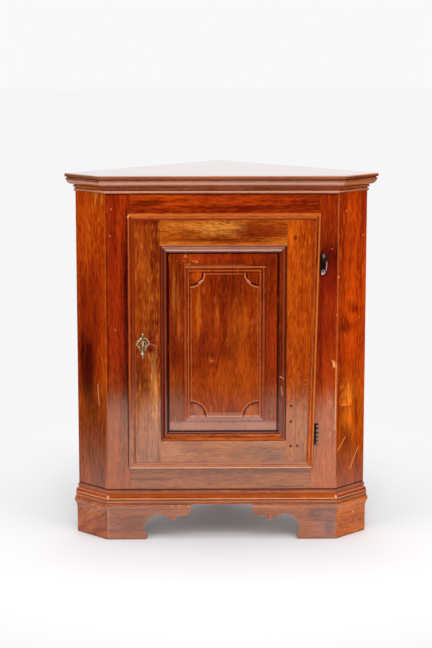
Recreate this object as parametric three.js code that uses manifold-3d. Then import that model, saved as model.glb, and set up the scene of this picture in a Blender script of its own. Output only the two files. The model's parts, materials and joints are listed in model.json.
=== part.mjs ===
import * as THREE from 'three';
import { mergeVertices } from 'three/addons/utils/BufferGeometryUtils.js';
import Module from 'manifold-3d';

// A low corner cupboard: a five-sided carcase on bracket feet, with one panelled door.
// Millimetres, Z up, the front faces -Y and the two walls meet behind it.

const wasm = await Module();
wasm.setup();

// Carcase
const overallHeight = 1085.5;
const frontHalfWidth = 337.5; // from the middle of the front to its corner
const cantRun = 91; // how far each canted side goes sideways, and as far back
const boardThickness = 22;
const backThickness = 14;
const backBoardsPerWall = 3;
const backRebate = 10; // how much of a cant's end the back boards cover
const postSize = 45;
const postChamfer = 16;

// Top and cornice
const topThickness = 10.5;
const topOverhang = 42;
const noseDepth = 10;
const topSplitDepth = 228; // where the two boards of the top meet, behind the front face
const corniceHeight = 44;
const corniceProjection = 38;

// Foot and base moulding
const footHeight = 108.5;
const bracketTopProjection = 19;
const bracketLength = 246;
const baseMouldingHeight = 40.5;
const baseMouldingProjection = 14;
const blockLeg = 46;
const blockDepth = 30;
const blockLift = 3;

// Inside
const bottomBoardDrop = 4; // from the top of the face frame's bottom rail
const lowerSpaceHeight = 438; // from the bottom board up to the shelf's top
const insideBoardThickness = 20;
const shelfSetback = 46; // from the front face to the shelf's front edge
const bearerDepth = 18;
const bearerHeight = 24;
const frontBearerInset = 39.5; // from the carcase's corner to the bearer's end

// Face frame round the door, as far as it shows; the door's right-hand edge leans
const leftStileShow = 63.5;
const rightStileShowLow = 68.5;
const rightStileShowHigh = 51;
const topRailShow = 99; // up to the top of the carcase, behind the cornice
const bottomRailShow = 107.5; // down to the foot, behind the base moulding

// Door
const doorThickness = 26;
const doorProud = 11;
const doorOverlap = 5; // how far the door laps over the face frame
const doorGap = 1.5; // between the door's inner part and the opening
const doorStileWidth = 94;
const doorTopRailHeight = 94.5;
const doorBottomRailHeight = 84;
const doorRightStileLow = 79.5; // the right-hand stile's width at the door's bottom

// Mouldings planted on the door
const lipWidth = 20;
const lipSeat = 5;
const lipCrest = 3;
const panelMouldingWidth = 22;
const panelMouldingHeight = 13;

// Raised panel
const tongueThickness = 8;
const tongueFront = 3.5; // behind the plane of the face frame
const grooveDepth = 9;
const tonguePlay = 1;
const marginStart = 2; // the margin's low edge, behind the plane of the face frame
const marginRise = 4.5;
const sideMargin = 46.5;
const endMargin = 34;
const quirkWidth = 2.5;
const quirkDepth = 1.6;
const beadWidth = 6;
const beadRise = 1.3;
const stepRise = 2.3;
const stepDraft = 1.2;
const stepWidth = 8;
const fieldTopDrop = 8;
const fieldRise = 3.4;
const fieldOffset = 3; // the field is worked a little to the right of the middle
const notchRadius = 40;

// Joinery
const tenonThickness = 8;
const tenonReach = 30;
const doorTenonReach = 42;
const frameTenonFront = 7;
const tenonShoulder = 10;
const doorTenonShoulder = 20;

// Hinges, seen from the pin's centre
const hingeHeight = 60;
const hingeOffset = 8.5; // the pin's centre from the door's edge
const hingeStand = 5; // and in front of the face frame
const upperHingeDrop = 150; // from the door's top edge to the hinge's middle
const lowerHingeRise = 103; // from the door's bottom edge
const knuckleCount = 5;
const knuckleRadius = 4.7;
const pinRadius = 2;
const pinClearance = 0.09;
const pinHeadRadius = 3.7;
const pinHeadHeight = 2;
const leafThickness = 1.6;
const tabHalfWidth = 1.3;
const upperLeafSpan = [-2.6, 17];
const lowerLeafSpan = [-11, 2.6];
const doorLeafSpan = [-7.4, 4];

// Lock and its plate
const keyholeInset = 46.8; // from the door's left edge
const keyholeDrop = 1; // below the middle of the door's height
const keyholeRadius = 3;
const keySlotWidth = 2.6;
const keySlotLength = 9;
const lockWidth = 70;
const lockHeight = 76;
const lockDepth = 15;
const lockInset = 9; // from the door's left edge
const boltHeight = 18;
const boltThickness = 4.5;
const boltLength = 46;
const boltSetback = 22.8; // the bolt's front behind the plane of the face frame
const plateHeight = 78;
const plateHalfWidth = 20;
const plateThickness = 1.5;
const plateShift = 4.3; // the plate's middle line is this far to the left of the keyhole

// Fits and the round work
const seam = 0.3;
const overrun = 6;
const weld = 0.0005;
const arcStep = Math.PI / 10;
const turnedSegments = 24;

// Worked out from the sizes above
const cantAngle = Math.PI / 4;
const mitre = Math.tan(cantAngle / 2);
const cantLength = cantRun / Math.cos(cantAngle);
const wallLength = (frontHalfWidth + cantRun) / Math.cos(cantAngle);
const apexDepth = frontHalfWidth + 2 * cantRun;
const carcaseTop = overallHeight - topThickness;
const doorBottom = footHeight + bottomRailShow;
const doorTop = carcaseTop - topRailShow;
const doorHeight = doorTop - doorBottom;
const doorLeft = leftStileShow - frontHalfWidth;
const doorRightLow = frontHalfWidth - rightStileShowLow;
const doorRightHigh = frontHalfWidth - rightStileShowHigh;
const doorFace = -doorProud;
const doorBack = doorThickness - doorProud;
const lean = Math.atan((doorRightHigh - doorRightLow) / doorHeight);
const panelOpening = {
  left: doorLeft + doorStileWidth,
  right: doorRightLow - doorRightStileLow,
  low: doorBottom + doorBottomRailHeight,
  high: doorTop - doorTopRailHeight,
};
const postEnd = wallLength - backThickness - seam;
const bottomBoardTop = doorBottom + doorOverlap - bottomBoardDrop;
const shelfTop = bottomBoardTop + lowerSpaceHeight;
const keyholeLevel = (doorBottom + doorTop) / 2 - keyholeDrop;
const hingeLevels = { upper: doorTop - upperHingeDrop, lower: doorBottom + lowerHingeRise };

// Sections, each row a share of the projection, a share of the height and the bulge of what follows
const corniceShares = [
  [0, 0], [0.08, 0, 0.66], [0.08, 0.215], [0.03, 0.225], [0.03, 0.285], [0.24, 0.285], [0.24, 0.385],
  [0.17, 0.395], [0.17, 0.455], [0.28, 0.465, 0.34], [1, 0.9], [1, 0.92], [0.88, 0.93], [0.88, 1], [0, 1],
];
const noseShares = [[-1, 0], [0.6, 0, 0.4], [1, 0.5, 0.4], [0.6, 1], [-1, 1]];
const baseMouldingShares = [
  [0, 0], [1, 0], [1, 0.2], [0.74, 0.215], [0.74, 0.265], [0.94, 0.28], [0.94, 0.395],
  [0.88, 0.4, 0.36], [0.28, 0.72], [0.12, 0.725], [0.12, 0.775], [0.3, 0.79], [0.3, 0.92], [0.2, 0.97],
  [0, 1],
];
const bracketBackShare = 0.42;
const bracketShares = [
  [-bracketBackShare, 0], [0.46, 0], [0.46, 0.66, -0.17], [1, 0.92], [1, 1], [-bracketBackShare, 1],
];
const lipShares = [[0, 0], [1, 0], [1, 0.7, -0.3], [0.66, 1], [0.16, 1, 0.4], [0, 0.84]];
const panelMouldingShares = [
  [0, 0], [1, 0], [1, 0.2, 0.45], [0.76, 0.4], [0.7, 0.36, -0.22], [0.4, 0.74],
  [0.38, 0.84, 0.6], [0.12, 0.88], [0.08, 0.86], [0.08, 0.94], [0, 0.94],
];

// The front brackets' lower edge, shares of the bracket's length and of the foot's height
const scrollShares = [
  [0.447, 0], [0.476, 0.07, -0.16], [0.431, 0.33, -0.36], [0.61, 0.724, -0.13], [0.756, 0.57, 0.12],
  [0.8, 0.52], [0.818, 0.53], [0.822, 0.66], [0.927, 0.66, 0.3], [1, 0.83],
];

// Half of the keyhole plate's edge from its lowest point to its tip, shares of its half width and height
const plateShares = [
  [0, -0.61], [0.14, -0.53, 0.3], [0.26, -0.43], [0.19, -0.4, 0.5], [0.48, -0.31], [0.43, -0.24],
  [0.38, -0.2, 0.45], [0.74, -0.11], [0.68, -0.07, 0.4], [0.97, 0.04, 0.55], [0.86, 0.1],
  [0.66, 0.1, 0.6], [0.58, 0.17], [0.42, 0.17, 0.6], [0.32, 0.24], [0.14, 0.24], [0.12, 0.26, 0.7],
  [0.08, 0.34], [0, 0.39],
];
const plateHoleShares = [
  { at: [-0.42, 0], reach: [0.17, 0.1] },
  { at: [0.5, 0.07], reach: [0.13, 0.05] },
  { at: [0.42, -0.12], reach: [0.08, 0.05] },
  { at: [-0.18, -0.25], reach: [0.1, 0.065] },
  { at: [-0.1, 0.18], reach: [0.16, 0.03] },
];

// Finishes
const walnut = finish(0x9a3f12, 0.35);
const darkWalnut = finish(0x7c2c0c, 0.35);
const wornWalnut = finish(0xb56a35, 0.4);
const insideWood = finish(0x9c7650, 0.7);
const backWood = finish(0x8a6f50, 0.8);
const brass = finish(0xb08c4e, 0.35, 1);
const iron = finish(0x6f6a66, 0.5, 1);

function finish(color, roughness, metalness = 0) {
  return new THREE.MeshStandardMaterial({ color, roughness, metalness });
}

// A closed geometry made ready for joining and cutting
function solid(geometry) {
  geometry.deleteAttribute('normal');
  geometry.deleteAttribute('uv');
  const merged = mergeVertices(geometry, weld);
  return new wasm.Manifold(new wasm.Mesh({
    numProp: 3,
    vertProperties: Float32Array.from(merged.attributes.position.array),
    triVerts: Uint32Array.from(merged.index.array),
  }));
}

// The finished sub-part under its name
function piece(name, shape, material) {
  const { vertProperties, triVerts } = shape.getMesh();
  const geometry = new THREE.BufferGeometry();
  geometry.setAttribute('position', new THREE.BufferAttribute(vertProperties, 3));
  geometry.setIndex(new THREE.BufferAttribute(triVerts, 1));
  geometry.computeVertexNormals();
  const mesh = new THREE.Mesh(geometry, material);
  mesh.name = name;
  return mesh;
}

// Points along an outline. A bulge is the tangent of a quarter of the arc's angle, left turns positive.
function outline(rows) {
  const points = [];
  rows.forEach(([x, y, bulge = 0], index) => {
    points.push(new THREE.Vector2(x, y));
    if (bulge === 0) return;
    const [nextX, nextY] = rows[(index + 1) % rows.length];
    const height = (1 - bulge * bulge) / (4 * bulge);
    const centre = new THREE.Vector2(
      (x + nextX) / 2 - (nextY - y) * height,
      (y + nextY) / 2 + (nextX - x) * height,
    );
    const sweep = 4 * Math.atan(bulge);
    const steps = Math.max(2, Math.ceil(Math.abs(sweep) / arcStep));
    for (let step = 1; step < steps; step += 1) {
      points.push(new THREE.Vector2(x, y).rotateAround(centre, (sweep * step) / steps));
    }
  });
  return points;
}

function scaled(shares, width, height) {
  return outline(shares.map(([x, y, bulge]) => [x * width, y * height, bulge]));
}

function mirrored(points) {
  return [...points, ...points.map(([x, y]) => [-x, y]).reverse()];
}

function vectors(points) {
  return points.map(([x, y]) => new THREE.Vector2(x, y));
}

// A plan drawn in X and Y, standing from one level to another
function upright(points, low, high) {
  const settings = { depth: high - low, bevelEnabled: false };
  const geometry = new THREE.ExtrudeGeometry(new THREE.Shape(points), settings);
  return solid(geometry.translate(0, 0, low));
}

// A front view drawn in X and Z, from one depth to another
function facing(points, front, back, holes = []) {
  const shape = new THREE.Shape(points);
  shape.holes = holes.map((hole) => new THREE.Path(hole));
  const geometry = new THREE.ExtrudeGeometry(shape, { depth: back - front, bevelEnabled: false });
  return solid(geometry.rotateX(Math.PI / 2).translate(0, back, 0));
}

function block([x0, x1], [y0, y1], [z0, z1]) {
  const geometry = new THREE.BoxGeometry(x1 - x0, y1 - y0, z1 - z0);
  return solid(geometry.translate((x0 + x1) / 2, (y0 + y1) / 2, (z0 + z1) / 2));
}

// A straight run of a section along X. The section's width goes to -Y and its height to Z;
// a skew is how far an end runs on for each unit of the section's width.
function run(section, length, startSkew, endSkew) {
  const settings = { depth: length, bevelEnabled: false };
  const geometry = new THREE.ExtrudeGeometry(new THREE.Shape(section), settings);
  const startGap = startSkew === 0 ? 0 : seam / 2;
  const endGap = endSkew === 0 ? 0 : seam / 2;
  const position = geometry.attributes.position;
  for (let index = 0; index < position.count; index += 1) {
    const width = position.getX(index);
    const atStart = position.getZ(index) > length / 2;
    const along = atStart ? startGap - startSkew * width : length - endGap + endSkew * width;
    position.setXYZ(index, along, -width, position.getY(index));
  }
  return geometry;
}

// The five sides of the plan, walked with the inside on the left
const sides = {
  front: { start: [-frontHalfWidth, 0], turn: 0 },
  rightCant: { start: [frontHalfWidth, 0], turn: cantAngle },
  rightWall: { start: [frontHalfWidth + cantRun, cantRun], turn: 3 * cantAngle },
  leftWall: { start: [0, apexDepth], turn: 5 * cantAngle },
  leftCant: { start: [-frontHalfWidth - cantRun, cantRun], turn: 7 * cantAngle },
};

function sideGroup(name) {
  const group = new THREE.Group();
  const { start, turn } = sides[name];
  group.position.set(start[0], start[1], 0);
  group.rotation.z = turn;
  return group;
}

// A place on the plan from a side, so far along it and so far inwards
function planPoint(name, along, inward) {
  const { start, turn } = sides[name];
  return [
    start[0] + along * Math.cos(turn) - inward * Math.sin(turn),
    start[1] + along * Math.sin(turn) + inward * Math.cos(turn),
  ];
}

// The door's right-hand edge at a level, moved in by an inset
function doorRightAt(level, inset) {
  const edge = doorRightLow + (level - doorBottom) * Math.tan(lean);
  return edge - inset / Math.cos(lean);
}

// The door's outline moved in by an inset, from the lower right corner clockwise as seen from the front
function doorOutline(inset) {
  const low = doorBottom + inset;
  const high = doorTop - inset;
  return [
    [doorRightAt(low, inset), low],
    [doorLeft + inset, low],
    [doorLeft + inset, high],
    [doorRightAt(high, inset), high],
  ];
}

function rectangle({ left, right, low, high }) {
  return [[right, low], [left, low], [left, high], [right, high]];
}

function insetBox(box, side, end) {
  return { left: box.left + side, right: box.right - side, low: box.low + end, high: box.high - end };
}

// Everything round an outline, used to cut a rebate along its edges
function surround(points, front, back) {
  const field = block([-frontHalfWidth, frontHalfWidth], [front, back], [footHeight, carcaseTop]);
  return field.subtract(facing(vectors(points), front - overrun, back + overrun));
}

// The outline of a tenon from an edge, or of its mortise
function tenonOutline(edgeAt, outward, low, high, reach) {
  return vectors([
    [edgeAt(low) - outward * overrun, low],
    [edgeAt(low) + outward * reach, low],
    [edgeAt(high) + outward * reach, high],
    [edgeAt(high) - outward * overrun, high],
  ]);
}

function tenon(joint) {
  const { edgeAt, outward, low, high, reach, front } = joint;
  return facing(tenonOutline(edgeAt, outward, low, high, reach), front, front + tenonThickness);
}

function mortise(joint) {
  const { edgeAt, outward, low, high, reach, front } = joint;
  const shape = tenonOutline(edgeAt, outward, low - seam, high + seam, reach + seam);
  return facing(shape, front - seam, front + tenonThickness + seam);
}

// Face frame: the left stile's edge stands plumb, the right one leans with the door
const openingEdges = {
  left: () => doorLeft + doorOverlap,
  right: (level) => doorRightAt(level, doorOverlap),
};

function frameJoint(side, low, high) {
  const outward = side === 'left' ? -1 : 1;
  return { edgeAt: openingEdges[side], outward, low, high, reach: tenonReach, front: frameTenonFront };
}

const topRail = { low: doorTop - doorOverlap, high: carcaseTop };
const bottomRail = { low: footHeight, high: doorBottom + doorOverlap };

function railJoint(side, { low, high }) {
  return frameJoint(side, low + tenonShoulder, high - tenonShoulder);
}

function faceRail(rail) {
  const { left, right } = openingEdges;
  const shape = facing(vectors([
    [left() + seam / 2, rail.low],
    [right(rail.low) - seam / 2, rail.low],
    [right(rail.high) - seam / 2, rail.high],
    [left() + seam / 2, rail.high],
  ]), 0, boardThickness);
  return shape.add(tenon(railJoint('left', rail))).add(tenon(railJoint('right', rail)));
}

function faceStile(side) {
  const outward = side === 'left' ? -1 : 1;
  const corner = outward * frontHalfWidth;
  const edgeAt = openingEdges[side];
  const shape = facing(vectors([
    [corner, footHeight],
    [edgeAt(footHeight), footHeight],
    [edgeAt(carcaseTop), carcaseTop],
    [corner, carcaseTop],
  ]), 0, boardThickness);
  const mitreAt = (depth) => outward * (frontHalfWidth - seam / 2 - depth * mitre);
  const wedge = upright(vectors([
    [mitreAt(-overrun), -overrun],
    [mitreAt(boardThickness + overrun), boardThickness + overrun],
    [corner + outward * overrun, boardThickness + overrun],
    [corner + outward * overrun, -overrun],
  ]), footHeight - overrun, carcaseTop + overrun);
  return shape.subtract(wedge)
    .subtract(mortise(railJoint(side, topRail)))
    .subtract(mortise(railJoint(side, bottomRail)));
}

// A canted side board: mitred to the stile, rebated behind for the back boards
function cantBoard(fromCorner) {
  const rebateAt = cantLength - backThickness - seam;
  const rebateTo = boardThickness - backRebate;
  return upright(vectors([
    [seam / 2, 0], [cantLength, 0], [cantLength, rebateTo], [rebateAt, rebateTo],
    [rebateAt, boardThickness], [boardThickness * mitre + seam / 2, boardThickness],
  ].map(([along, inward]) => [fromCorner(along), inward])), footHeight, carcaseTop);
}

function backBoard(from, to) {
  return block([from, to], [0, backThickness], [footHeight, carcaseTop]);
}

function backWall(group, label, from, to) {
  const width = (to - from) / backBoardsPerWall;
  for (let index = 0; index < backBoardsPerWall; index += 1) {
    const start = from + index * width;
    const board = backBoard(start + seam / 2, start + width - seam / 2);
    group.add(piece(`${label}_back_board_${index + 1}`, board, backWood));
  }
}

// The post in the corner of the walls, which is also the back foot
function rearPost() {
  const from = postEnd - postSize;
  const near = backThickness + seam;
  const far = near + postSize;
  return upright(vectors([
    [from, near], [postEnd, near], [postEnd, far], [from + postChamfer, far], [from, far - postChamfer],
  ]), 0, carcaseTop);
}

// The plan of a board that fills the inside from a depth back to the walls, notched round the post
function insideBoard(frontDepth, low, high) {
  const inner = boardThickness + seam;
  const wall = backThickness + seam;
  const beside = postEnd - postSize - seam;
  const half = [
    planPoint('rightCant', frontDepth / Math.sin(cantAngle) - inner, inner),
    planPoint('rightCant', cantLength - wall, inner),
    planPoint('rightWall', beside, wall),
    planPoint('rightWall', beside, wall + postSize - postChamfer + seam * mitre),
  ];
  return upright(vectors(mirrored(half)), low, high);
}

function wallBearer(fromCant, top) {
  const from = boardThickness + seam;
  const to = postEnd - postSize - seam;
  const ends = [fromCant(from), fromCant(to)].sort((a, b) => a - b);
  const depth = [backThickness + seam, backThickness + seam + bearerDepth];
  return block(ends, depth, [top - bearerHeight, top]);
}

// The top in two boards, the front one with a rounded edge on its three free sides
function topFront() {
  const inset = topOverhang - noseDepth / 2;
  const corner = frontHalfWidth + inset * mitre;
  const split = apexDepth - topSplitDepth;
  const plan = [
    [corner, -inset],
    planPoint('rightCant', cantLength, -inset),
    [split, topSplitDepth],
  ];
  const nose = scaled(noseShares, noseDepth, topThickness).map(({ x, y }) => (
    new THREE.Vector2(x + topOverhang - noseDepth, y)
  ));
  const edge = (name, length, startSkew, endSkew) => {
    const group = sideGroup(name);
    group.updateMatrix();
    const whole = run(nose, length, startSkew, endSkew).applyMatrix4(group.matrix);
    return solid(whole.translate(0, 0, carcaseTop));
  };
  return upright(vectors(mirrored(plan)), carcaseTop, overallHeight)
    .add(edge('front', 2 * frontHalfWidth, mitre, mitre))
    .add(edge('rightCant', cantLength, mitre, 0))
    .add(edge('leftCant', cantLength, 0, mitre));
}

function topBack() {
  const from = topSplitDepth + seam;
  const plan = [[apexDepth - from, from], [0, apexDepth], [from - apexDepth, from]];
  return upright(vectors(plan), carcaseTop, overallHeight);
}

// A moulding that goes round the three free sides, mitred at the front corners
function wrapMoulding(shares, projection, height, level) {
  const section = scaled(shares, projection, height).map(({ x, y }) => new THREE.Vector2(x + seam, y));
  return {
    front: solid(run(section, 2 * frontHalfWidth, mitre, mitre).translate(0, 0, level)),
    rightCant: solid(run(section, cantLength, mitre, 0).translate(0, 0, level)),
    leftCant: solid(run(section, cantLength, 0, mitre).translate(0, 0, level)),
  };
}

// Bracket feet: a section that flares to the top, and a scrolled lower edge on the front pair
const bracketSection = scaled(bracketShares, bracketTopProjection, footHeight);
const bracketBack = bracketBackShare * bracketTopProjection;

function frontBracket(fromCorner, mirroredRun) {
  const length = bracketLength + overrun;
  const bar = run(bracketSection, length, mitre, 0);
  const scroll = scaled(scrollShares, bracketLength, footHeight);
  const back = bracketBack + overrun;
  const front = -bracketTopProjection - overrun;
  const keep = facing([
    new THREE.Vector2(-bracketLength, footHeight),
    new THREE.Vector2(-bracketLength, 0),
    ...scroll,
    new THREE.Vector2(bracketLength, footHeight),
  ], front, back);
  const shape = solid(bar).intersect(keep);
  return mirroredRun ? mirroredSolid(shape, fromCorner) : shape;
}

// The same solid turned left for right about the middle of a length
function mirroredSolid(shape, length) {
  const { vertProperties, triVerts } = shape.getMesh();
  const turned = Float32Array.from(vertProperties, (value, index) => (
    index % 3 === 0 ? length - value : value
  ));
  const flipped = Uint32Array.from(triVerts, (value, index) => {
    const corner = index % 3;
    return corner === 0 ? value : triVerts[index - corner + (3 - corner)];
  });
  return new wasm.Manifold(new wasm.Mesh({ numProp: 3, vertProperties: turned, triVerts: flipped }));
}

// Glue block in a front corner behind the brackets
function cornerBlock(outward) {
  const back = bracketBack + seam;
  const corner = planPoint('rightCant', back * mitre, back);
  const across = [corner[0] - blockLeg, corner[1]];
  const along = planPoint('rightCant', back * mitre + blockLeg, back);
  const alongIn = planPoint('rightCant', back * mitre + blockLeg, back + blockDepth);
  const plan = [across, corner, along, alongIn, [across[0], across[1] + blockDepth]];
  return upright(vectors(plan.map(([x, y]) => [outward * x, y])), blockLift, footHeight);
}

// Door frame
const lipCutter = surround(doorOutline(lipWidth + seam), doorFace - overrun, doorFace + lipSeat);
const overlapCutter = surround(doorOutline(doorOverlap + doorGap), -seam, doorBack + overrun);
const grooveBox = insetBox(panelOpening, -grooveDepth, -grooveDepth);
const grooveCutter = facing(
  vectors(rectangle(grooveBox)), tongueFront - seam, tongueFront + tongueThickness + seam,
);

function doorMember(points) {
  return facing(vectors(points), doorFace, doorBack)
    .subtract(lipCutter)
    .subtract(overlapCutter)
    .subtract(grooveCutter);
}

const doorRails = {
  top: { low: panelOpening.high, high: doorTop },
  bottom: { low: doorBottom, high: panelOpening.low },
};

function doorJoint(side, name) {
  const { low, high } = doorRails[name];
  const inner = grooveDepth + seam;
  return {
    edgeAt: () => panelOpening[side],
    outward: side === 'left' ? -1 : 1,
    low: name === 'top' ? low + inner : low + doorTenonShoulder,
    high: name === 'top' ? high - doorTenonShoulder : high - inner,
    reach: doorTenonReach,
    front: tongueFront,
  };
}

function doorRail(name) {
  const { low, high } = doorRails[name];
  const ends = { left: panelOpening.left + seam / 2, right: panelOpening.right - seam / 2 };
  return doorMember(rectangle({ ...ends, low, high }))
    .add(tenon(doorJoint('left', name)))
    .add(tenon(doorJoint('right', name)));
}

function doorStile(side) {
  const corners = doorOutline(0);
  const inner = panelOpening[side];
  const outer = side === 'left' ? [corners[1], corners[2]] : [corners[0], corners[3]];
  const points = [[inner, doorBottom], outer[0], outer[1], [inner, doorTop]];
  return doorMember(points)
    .subtract(mortise(doorJoint(side, 'top')))
    .subtract(mortise(doorJoint(side, 'bottom')));
}

// Mitred strips round an outline given clockwise from the front; their width goes inwards
function frameStrips(group, corners, section, seatDepth, names, material) {
  const points = vectors(corners);
  names.forEach((name, index) => {
    const [before, start, end, after] = [-1, 0, 1, 2].map((step) => points[(index + step + 4) % 4]);
    const direction = end.clone().sub(start);
    const skew = (corner, arm, other) => {
      const angle = Math.abs(arm.clone().sub(corner).angleTo(other.clone().sub(corner)));
      return -1 / Math.tan(angle / 2);
    };
    const strip = run(section, direction.length(), skew(start, before, end), skew(end, after, start));
    const mesh = piece(name, solid(strip), material);
    mesh.matrix.makeBasis(
      new THREE.Vector3(direction.x, 0, direction.y).normalize(),
      new THREE.Vector3(-direction.y, 0, direction.x).normalize(),
      new THREE.Vector3(0, -1, 0),
    ).setPosition(start.x, seatDepth, start.y);
    mesh.matrix.decompose(mesh.position, mesh.quaternion, mesh.scale);
    group.add(mesh);
  });
}

function addDoorMouldings(group) {
  const ring = ['bottom', 'left', 'top', 'right'];
  const lip = scaled(lipShares, lipWidth, lipSeat + lipCrest - seam);
  const lipNames = ring.map((name) => `door_lip_${name}`);
  frameStrips(group, doorOutline(0), lip, doorFace + lipSeat - seam, lipNames, wornWalnut);
  const reach = panelMouldingWidth - seam;
  const strip = scaled(panelMouldingShares, reach, panelMouldingHeight).map(({ x, y }) => (
    new THREE.Vector2(x + seam, y)
  ));
  const stripNames = ring.map((name) => `panel_moulding_${name}`);
  frameStrips(group, rectangle(panelOpening), strip, tongueFront - seam, stripNames, darkWalnut);
}

// A slab seen from the front whose front face is smaller than its back
function taperedSlab(backBox, frontBox, back, front) {
  const geometry = new THREE.BoxGeometry(1, 1, 1);
  const position = geometry.attributes.position;
  for (let index = 0; index < position.count; index += 1) {
    const atFront = position.getY(index) < 0;
    const box = atFront ? frontBox : backBox;
    const x = position.getX(index) < 0 ? box.left : box.right;
    const z = position.getZ(index) < 0 ? box.low : box.high;
    position.setXYZ(index, x, atFront ? front : back, z);
  }
  return solid(geometry);
}

// The raised field's outline: a rectangle with a quarter circle taken out of each corner
function notchedOutline({ left, right, low, high }) {
  const quarter = -Math.tan(Math.PI / 8);
  const r = notchRadius;
  return outline([
    [left + r, low], [right - r, low, quarter], [right, low + r], [right, high - r, quarter],
    [right - r, high], [left + r, high, quarter], [left, high - r], [left, low + r, quarter],
  ]);
}

// Raised and fielded panel: tongue, sloping margin, quirk, bead, step and the notched field
function doorPanel() {
  const tongueBox = insetBox(panelOpening, tonguePlay - grooveDepth, tonguePlay - grooveDepth);
  const tongueBack = tongueFront + tongueThickness;
  const marginBox = insetBox(panelOpening, panelMouldingWidth + seam, panelMouldingWidth + seam);
  const worked = insetBox(marginBox, sideMargin, endMargin);
  const riseBox = { ...worked, left: worked.left + fieldOffset, right: worked.right + fieldOffset };
  const marginTop = marginStart - marginRise;
  const quirkBox = insetBox(riseBox, quirkWidth, quirkWidth);
  const beadFront = marginTop - beadRise;
  const beadBox = insetBox(quirkBox, stepDraft, stepDraft);
  const stepBox = insetBox(quirkBox, beadWidth, beadWidth);
  const stepFront = beadFront - stepRise;
  const stepFace = insetBox(stepBox, stepDraft, stepDraft);
  const fieldBox = insetBox(stepBox, stepWidth, stepWidth);
  const quirk = facing(vectors(rectangle(riseBox)), marginTop - overrun, marginTop + quirkDepth)
    .subtract(facing(vectors(rectangle(quirkBox)), marginTop - overrun, marginTop + quirkDepth));
  const field = notchedOutline({ ...fieldBox, high: fieldBox.high - fieldTopDrop });
  return taperedSlab(tongueBox, tongueBox, tongueBack, tongueFront)
    .add(taperedSlab(marginBox, marginBox, tongueBack, marginStart))
    .add(taperedSlab(marginBox, riseBox, marginStart, marginTop))
    .subtract(quirk)
    .add(taperedSlab(quirkBox, beadBox, marginTop + quirkDepth, beadFront))
    .add(taperedSlab(stepBox, stepFace, marginTop, stepFront))
    .add(facing(field, stepFront - fieldRise, marginTop));
}

// Hinges, modelled round the pin, which leans with the door's edge
function turned(points) {
  const profile = vectors(points);
  return solid(new THREE.LatheGeometry(profile, turnedSegments).rotateX(Math.PI / 2));
}

const knucklePitch = hingeHeight / knuckleCount;

function knuckleSpan(index) {
  const low = index * knucklePitch - hingeHeight / 2;
  return [low + seam / 2, low + knucklePitch - seam / 2];
}

function knuckle([low, high]) {
  const hole = pinRadius + pinClearance;
  return turned([[hole, low], [knuckleRadius, low], [knuckleRadius, high], [hole, high], [hole, low]]);
}

const hingeSpan = [-hingeHeight / 2, hingeHeight / 2];
const leafDepth = [hingeStand + seam, hingeStand + seam + leafThickness];

function frameLeaf(span) {
  const tabWidth = [-tabHalfWidth, tabHalfWidth];
  const tabDepth = [pinRadius + tabHalfWidth, leafDepth[1]];
  let shape = block(span, leafDepth, hingeSpan);
  for (let index = 0; index < knuckleCount; index += 2) {
    const levels = knuckleSpan(index);
    shape = shape.add(block(tabWidth, tabDepth, levels)).add(knuckle(levels));
  }
  return shape;
}

function doorLeaf() {
  const face = seam - hingeOffset;
  const tabWidth = [face, -pinRadius - tabHalfWidth];
  const tabDepth = [-tabHalfWidth, tabHalfWidth];
  let shape = block([face, face + leafThickness], doorLeafSpan, hingeSpan);
  for (let index = 1; index < knuckleCount; index += 2) {
    const levels = knuckleSpan(index);
    shape = shape.add(block(tabWidth, tabDepth, levels)).add(knuckle(levels));
  }
  return shape;
}

function hingePin() {
  const half = hingeHeight / 2 + seam;
  const upperHalf = [
    [pinRadius, half], [pinHeadRadius, half], [pinHeadRadius, half + pinHeadHeight / 2],
    [pinHeadRadius / 2, half + pinHeadHeight], [0, half + pinHeadHeight],
  ];
  const lowerHalf = upperHalf.map(([radius, level]) => [radius, -level]).reverse();
  return turned([...lowerHalf, ...upperHalf]);
}

function hingeGroup(level) {
  const group = new THREE.Group();
  group.position.set(doorRightAt(level, -hingeOffset), -hingeStand, level);
  group.rotation.y = lean;
  return group;
}

// The housing for a leaf let into the right-hand stile
function leafHousing(span, level) {
  const group = hingeGroup(level);
  group.updateMatrix();
  const [from, to] = span;
  const size = new THREE.BoxGeometry(to - from + 2 * seam, leafDepth[1] + seam, hingeHeight + 2 * seam);
  size.translate((from + to) / 2, (leafDepth[1] + seam) / 2, 0);
  return solid(size.applyMatrix4(group.matrix));
}

function addHinge(name, level, span, material) {
  const fixed = hingeGroup(level);
  fixed.add(piece(`${name}_hinge_frame_leaf`, frameLeaf(span), material));
  fixed.add(piece(`${name}_hinge_pin`, hingePin(), material));
  const moving = hingeGroup(level);
  moving.add(piece(`${name}_hinge_door_leaf`, doorLeaf(), material));
  return [fixed, moving];
}

// Lock, bolt and keyhole plate
const keyholeX = doorLeft + keyholeInset;

function keyhole(front, back) {
  const steps = turnedSegments / 2;
  const round = Array.from({ length: steps }, (_, index) => {
    const angle = (2 * Math.PI * index) / steps;
    return new THREE.Vector2(
      keyholeX + keyholeRadius * Math.cos(angle), keyholeLevel + keyholeRadius * Math.sin(angle),
    );
  });
  const half = keySlotWidth / 2;
  const slotWidth = [keyholeX - half, keyholeX + half];
  const slotLevels = [keyholeLevel - keySlotLength, keyholeLevel];
  return facing(round, front, back).add(block(slotWidth, [front, back], slotLevels));
}

const lockFrom = doorLeft + lockInset;
const lockMiddle = keyholeLevel - keySlotLength / 2;
const boltSpan = [lockMiddle - boltHeight / 2, lockMiddle + boltHeight / 2];

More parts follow.
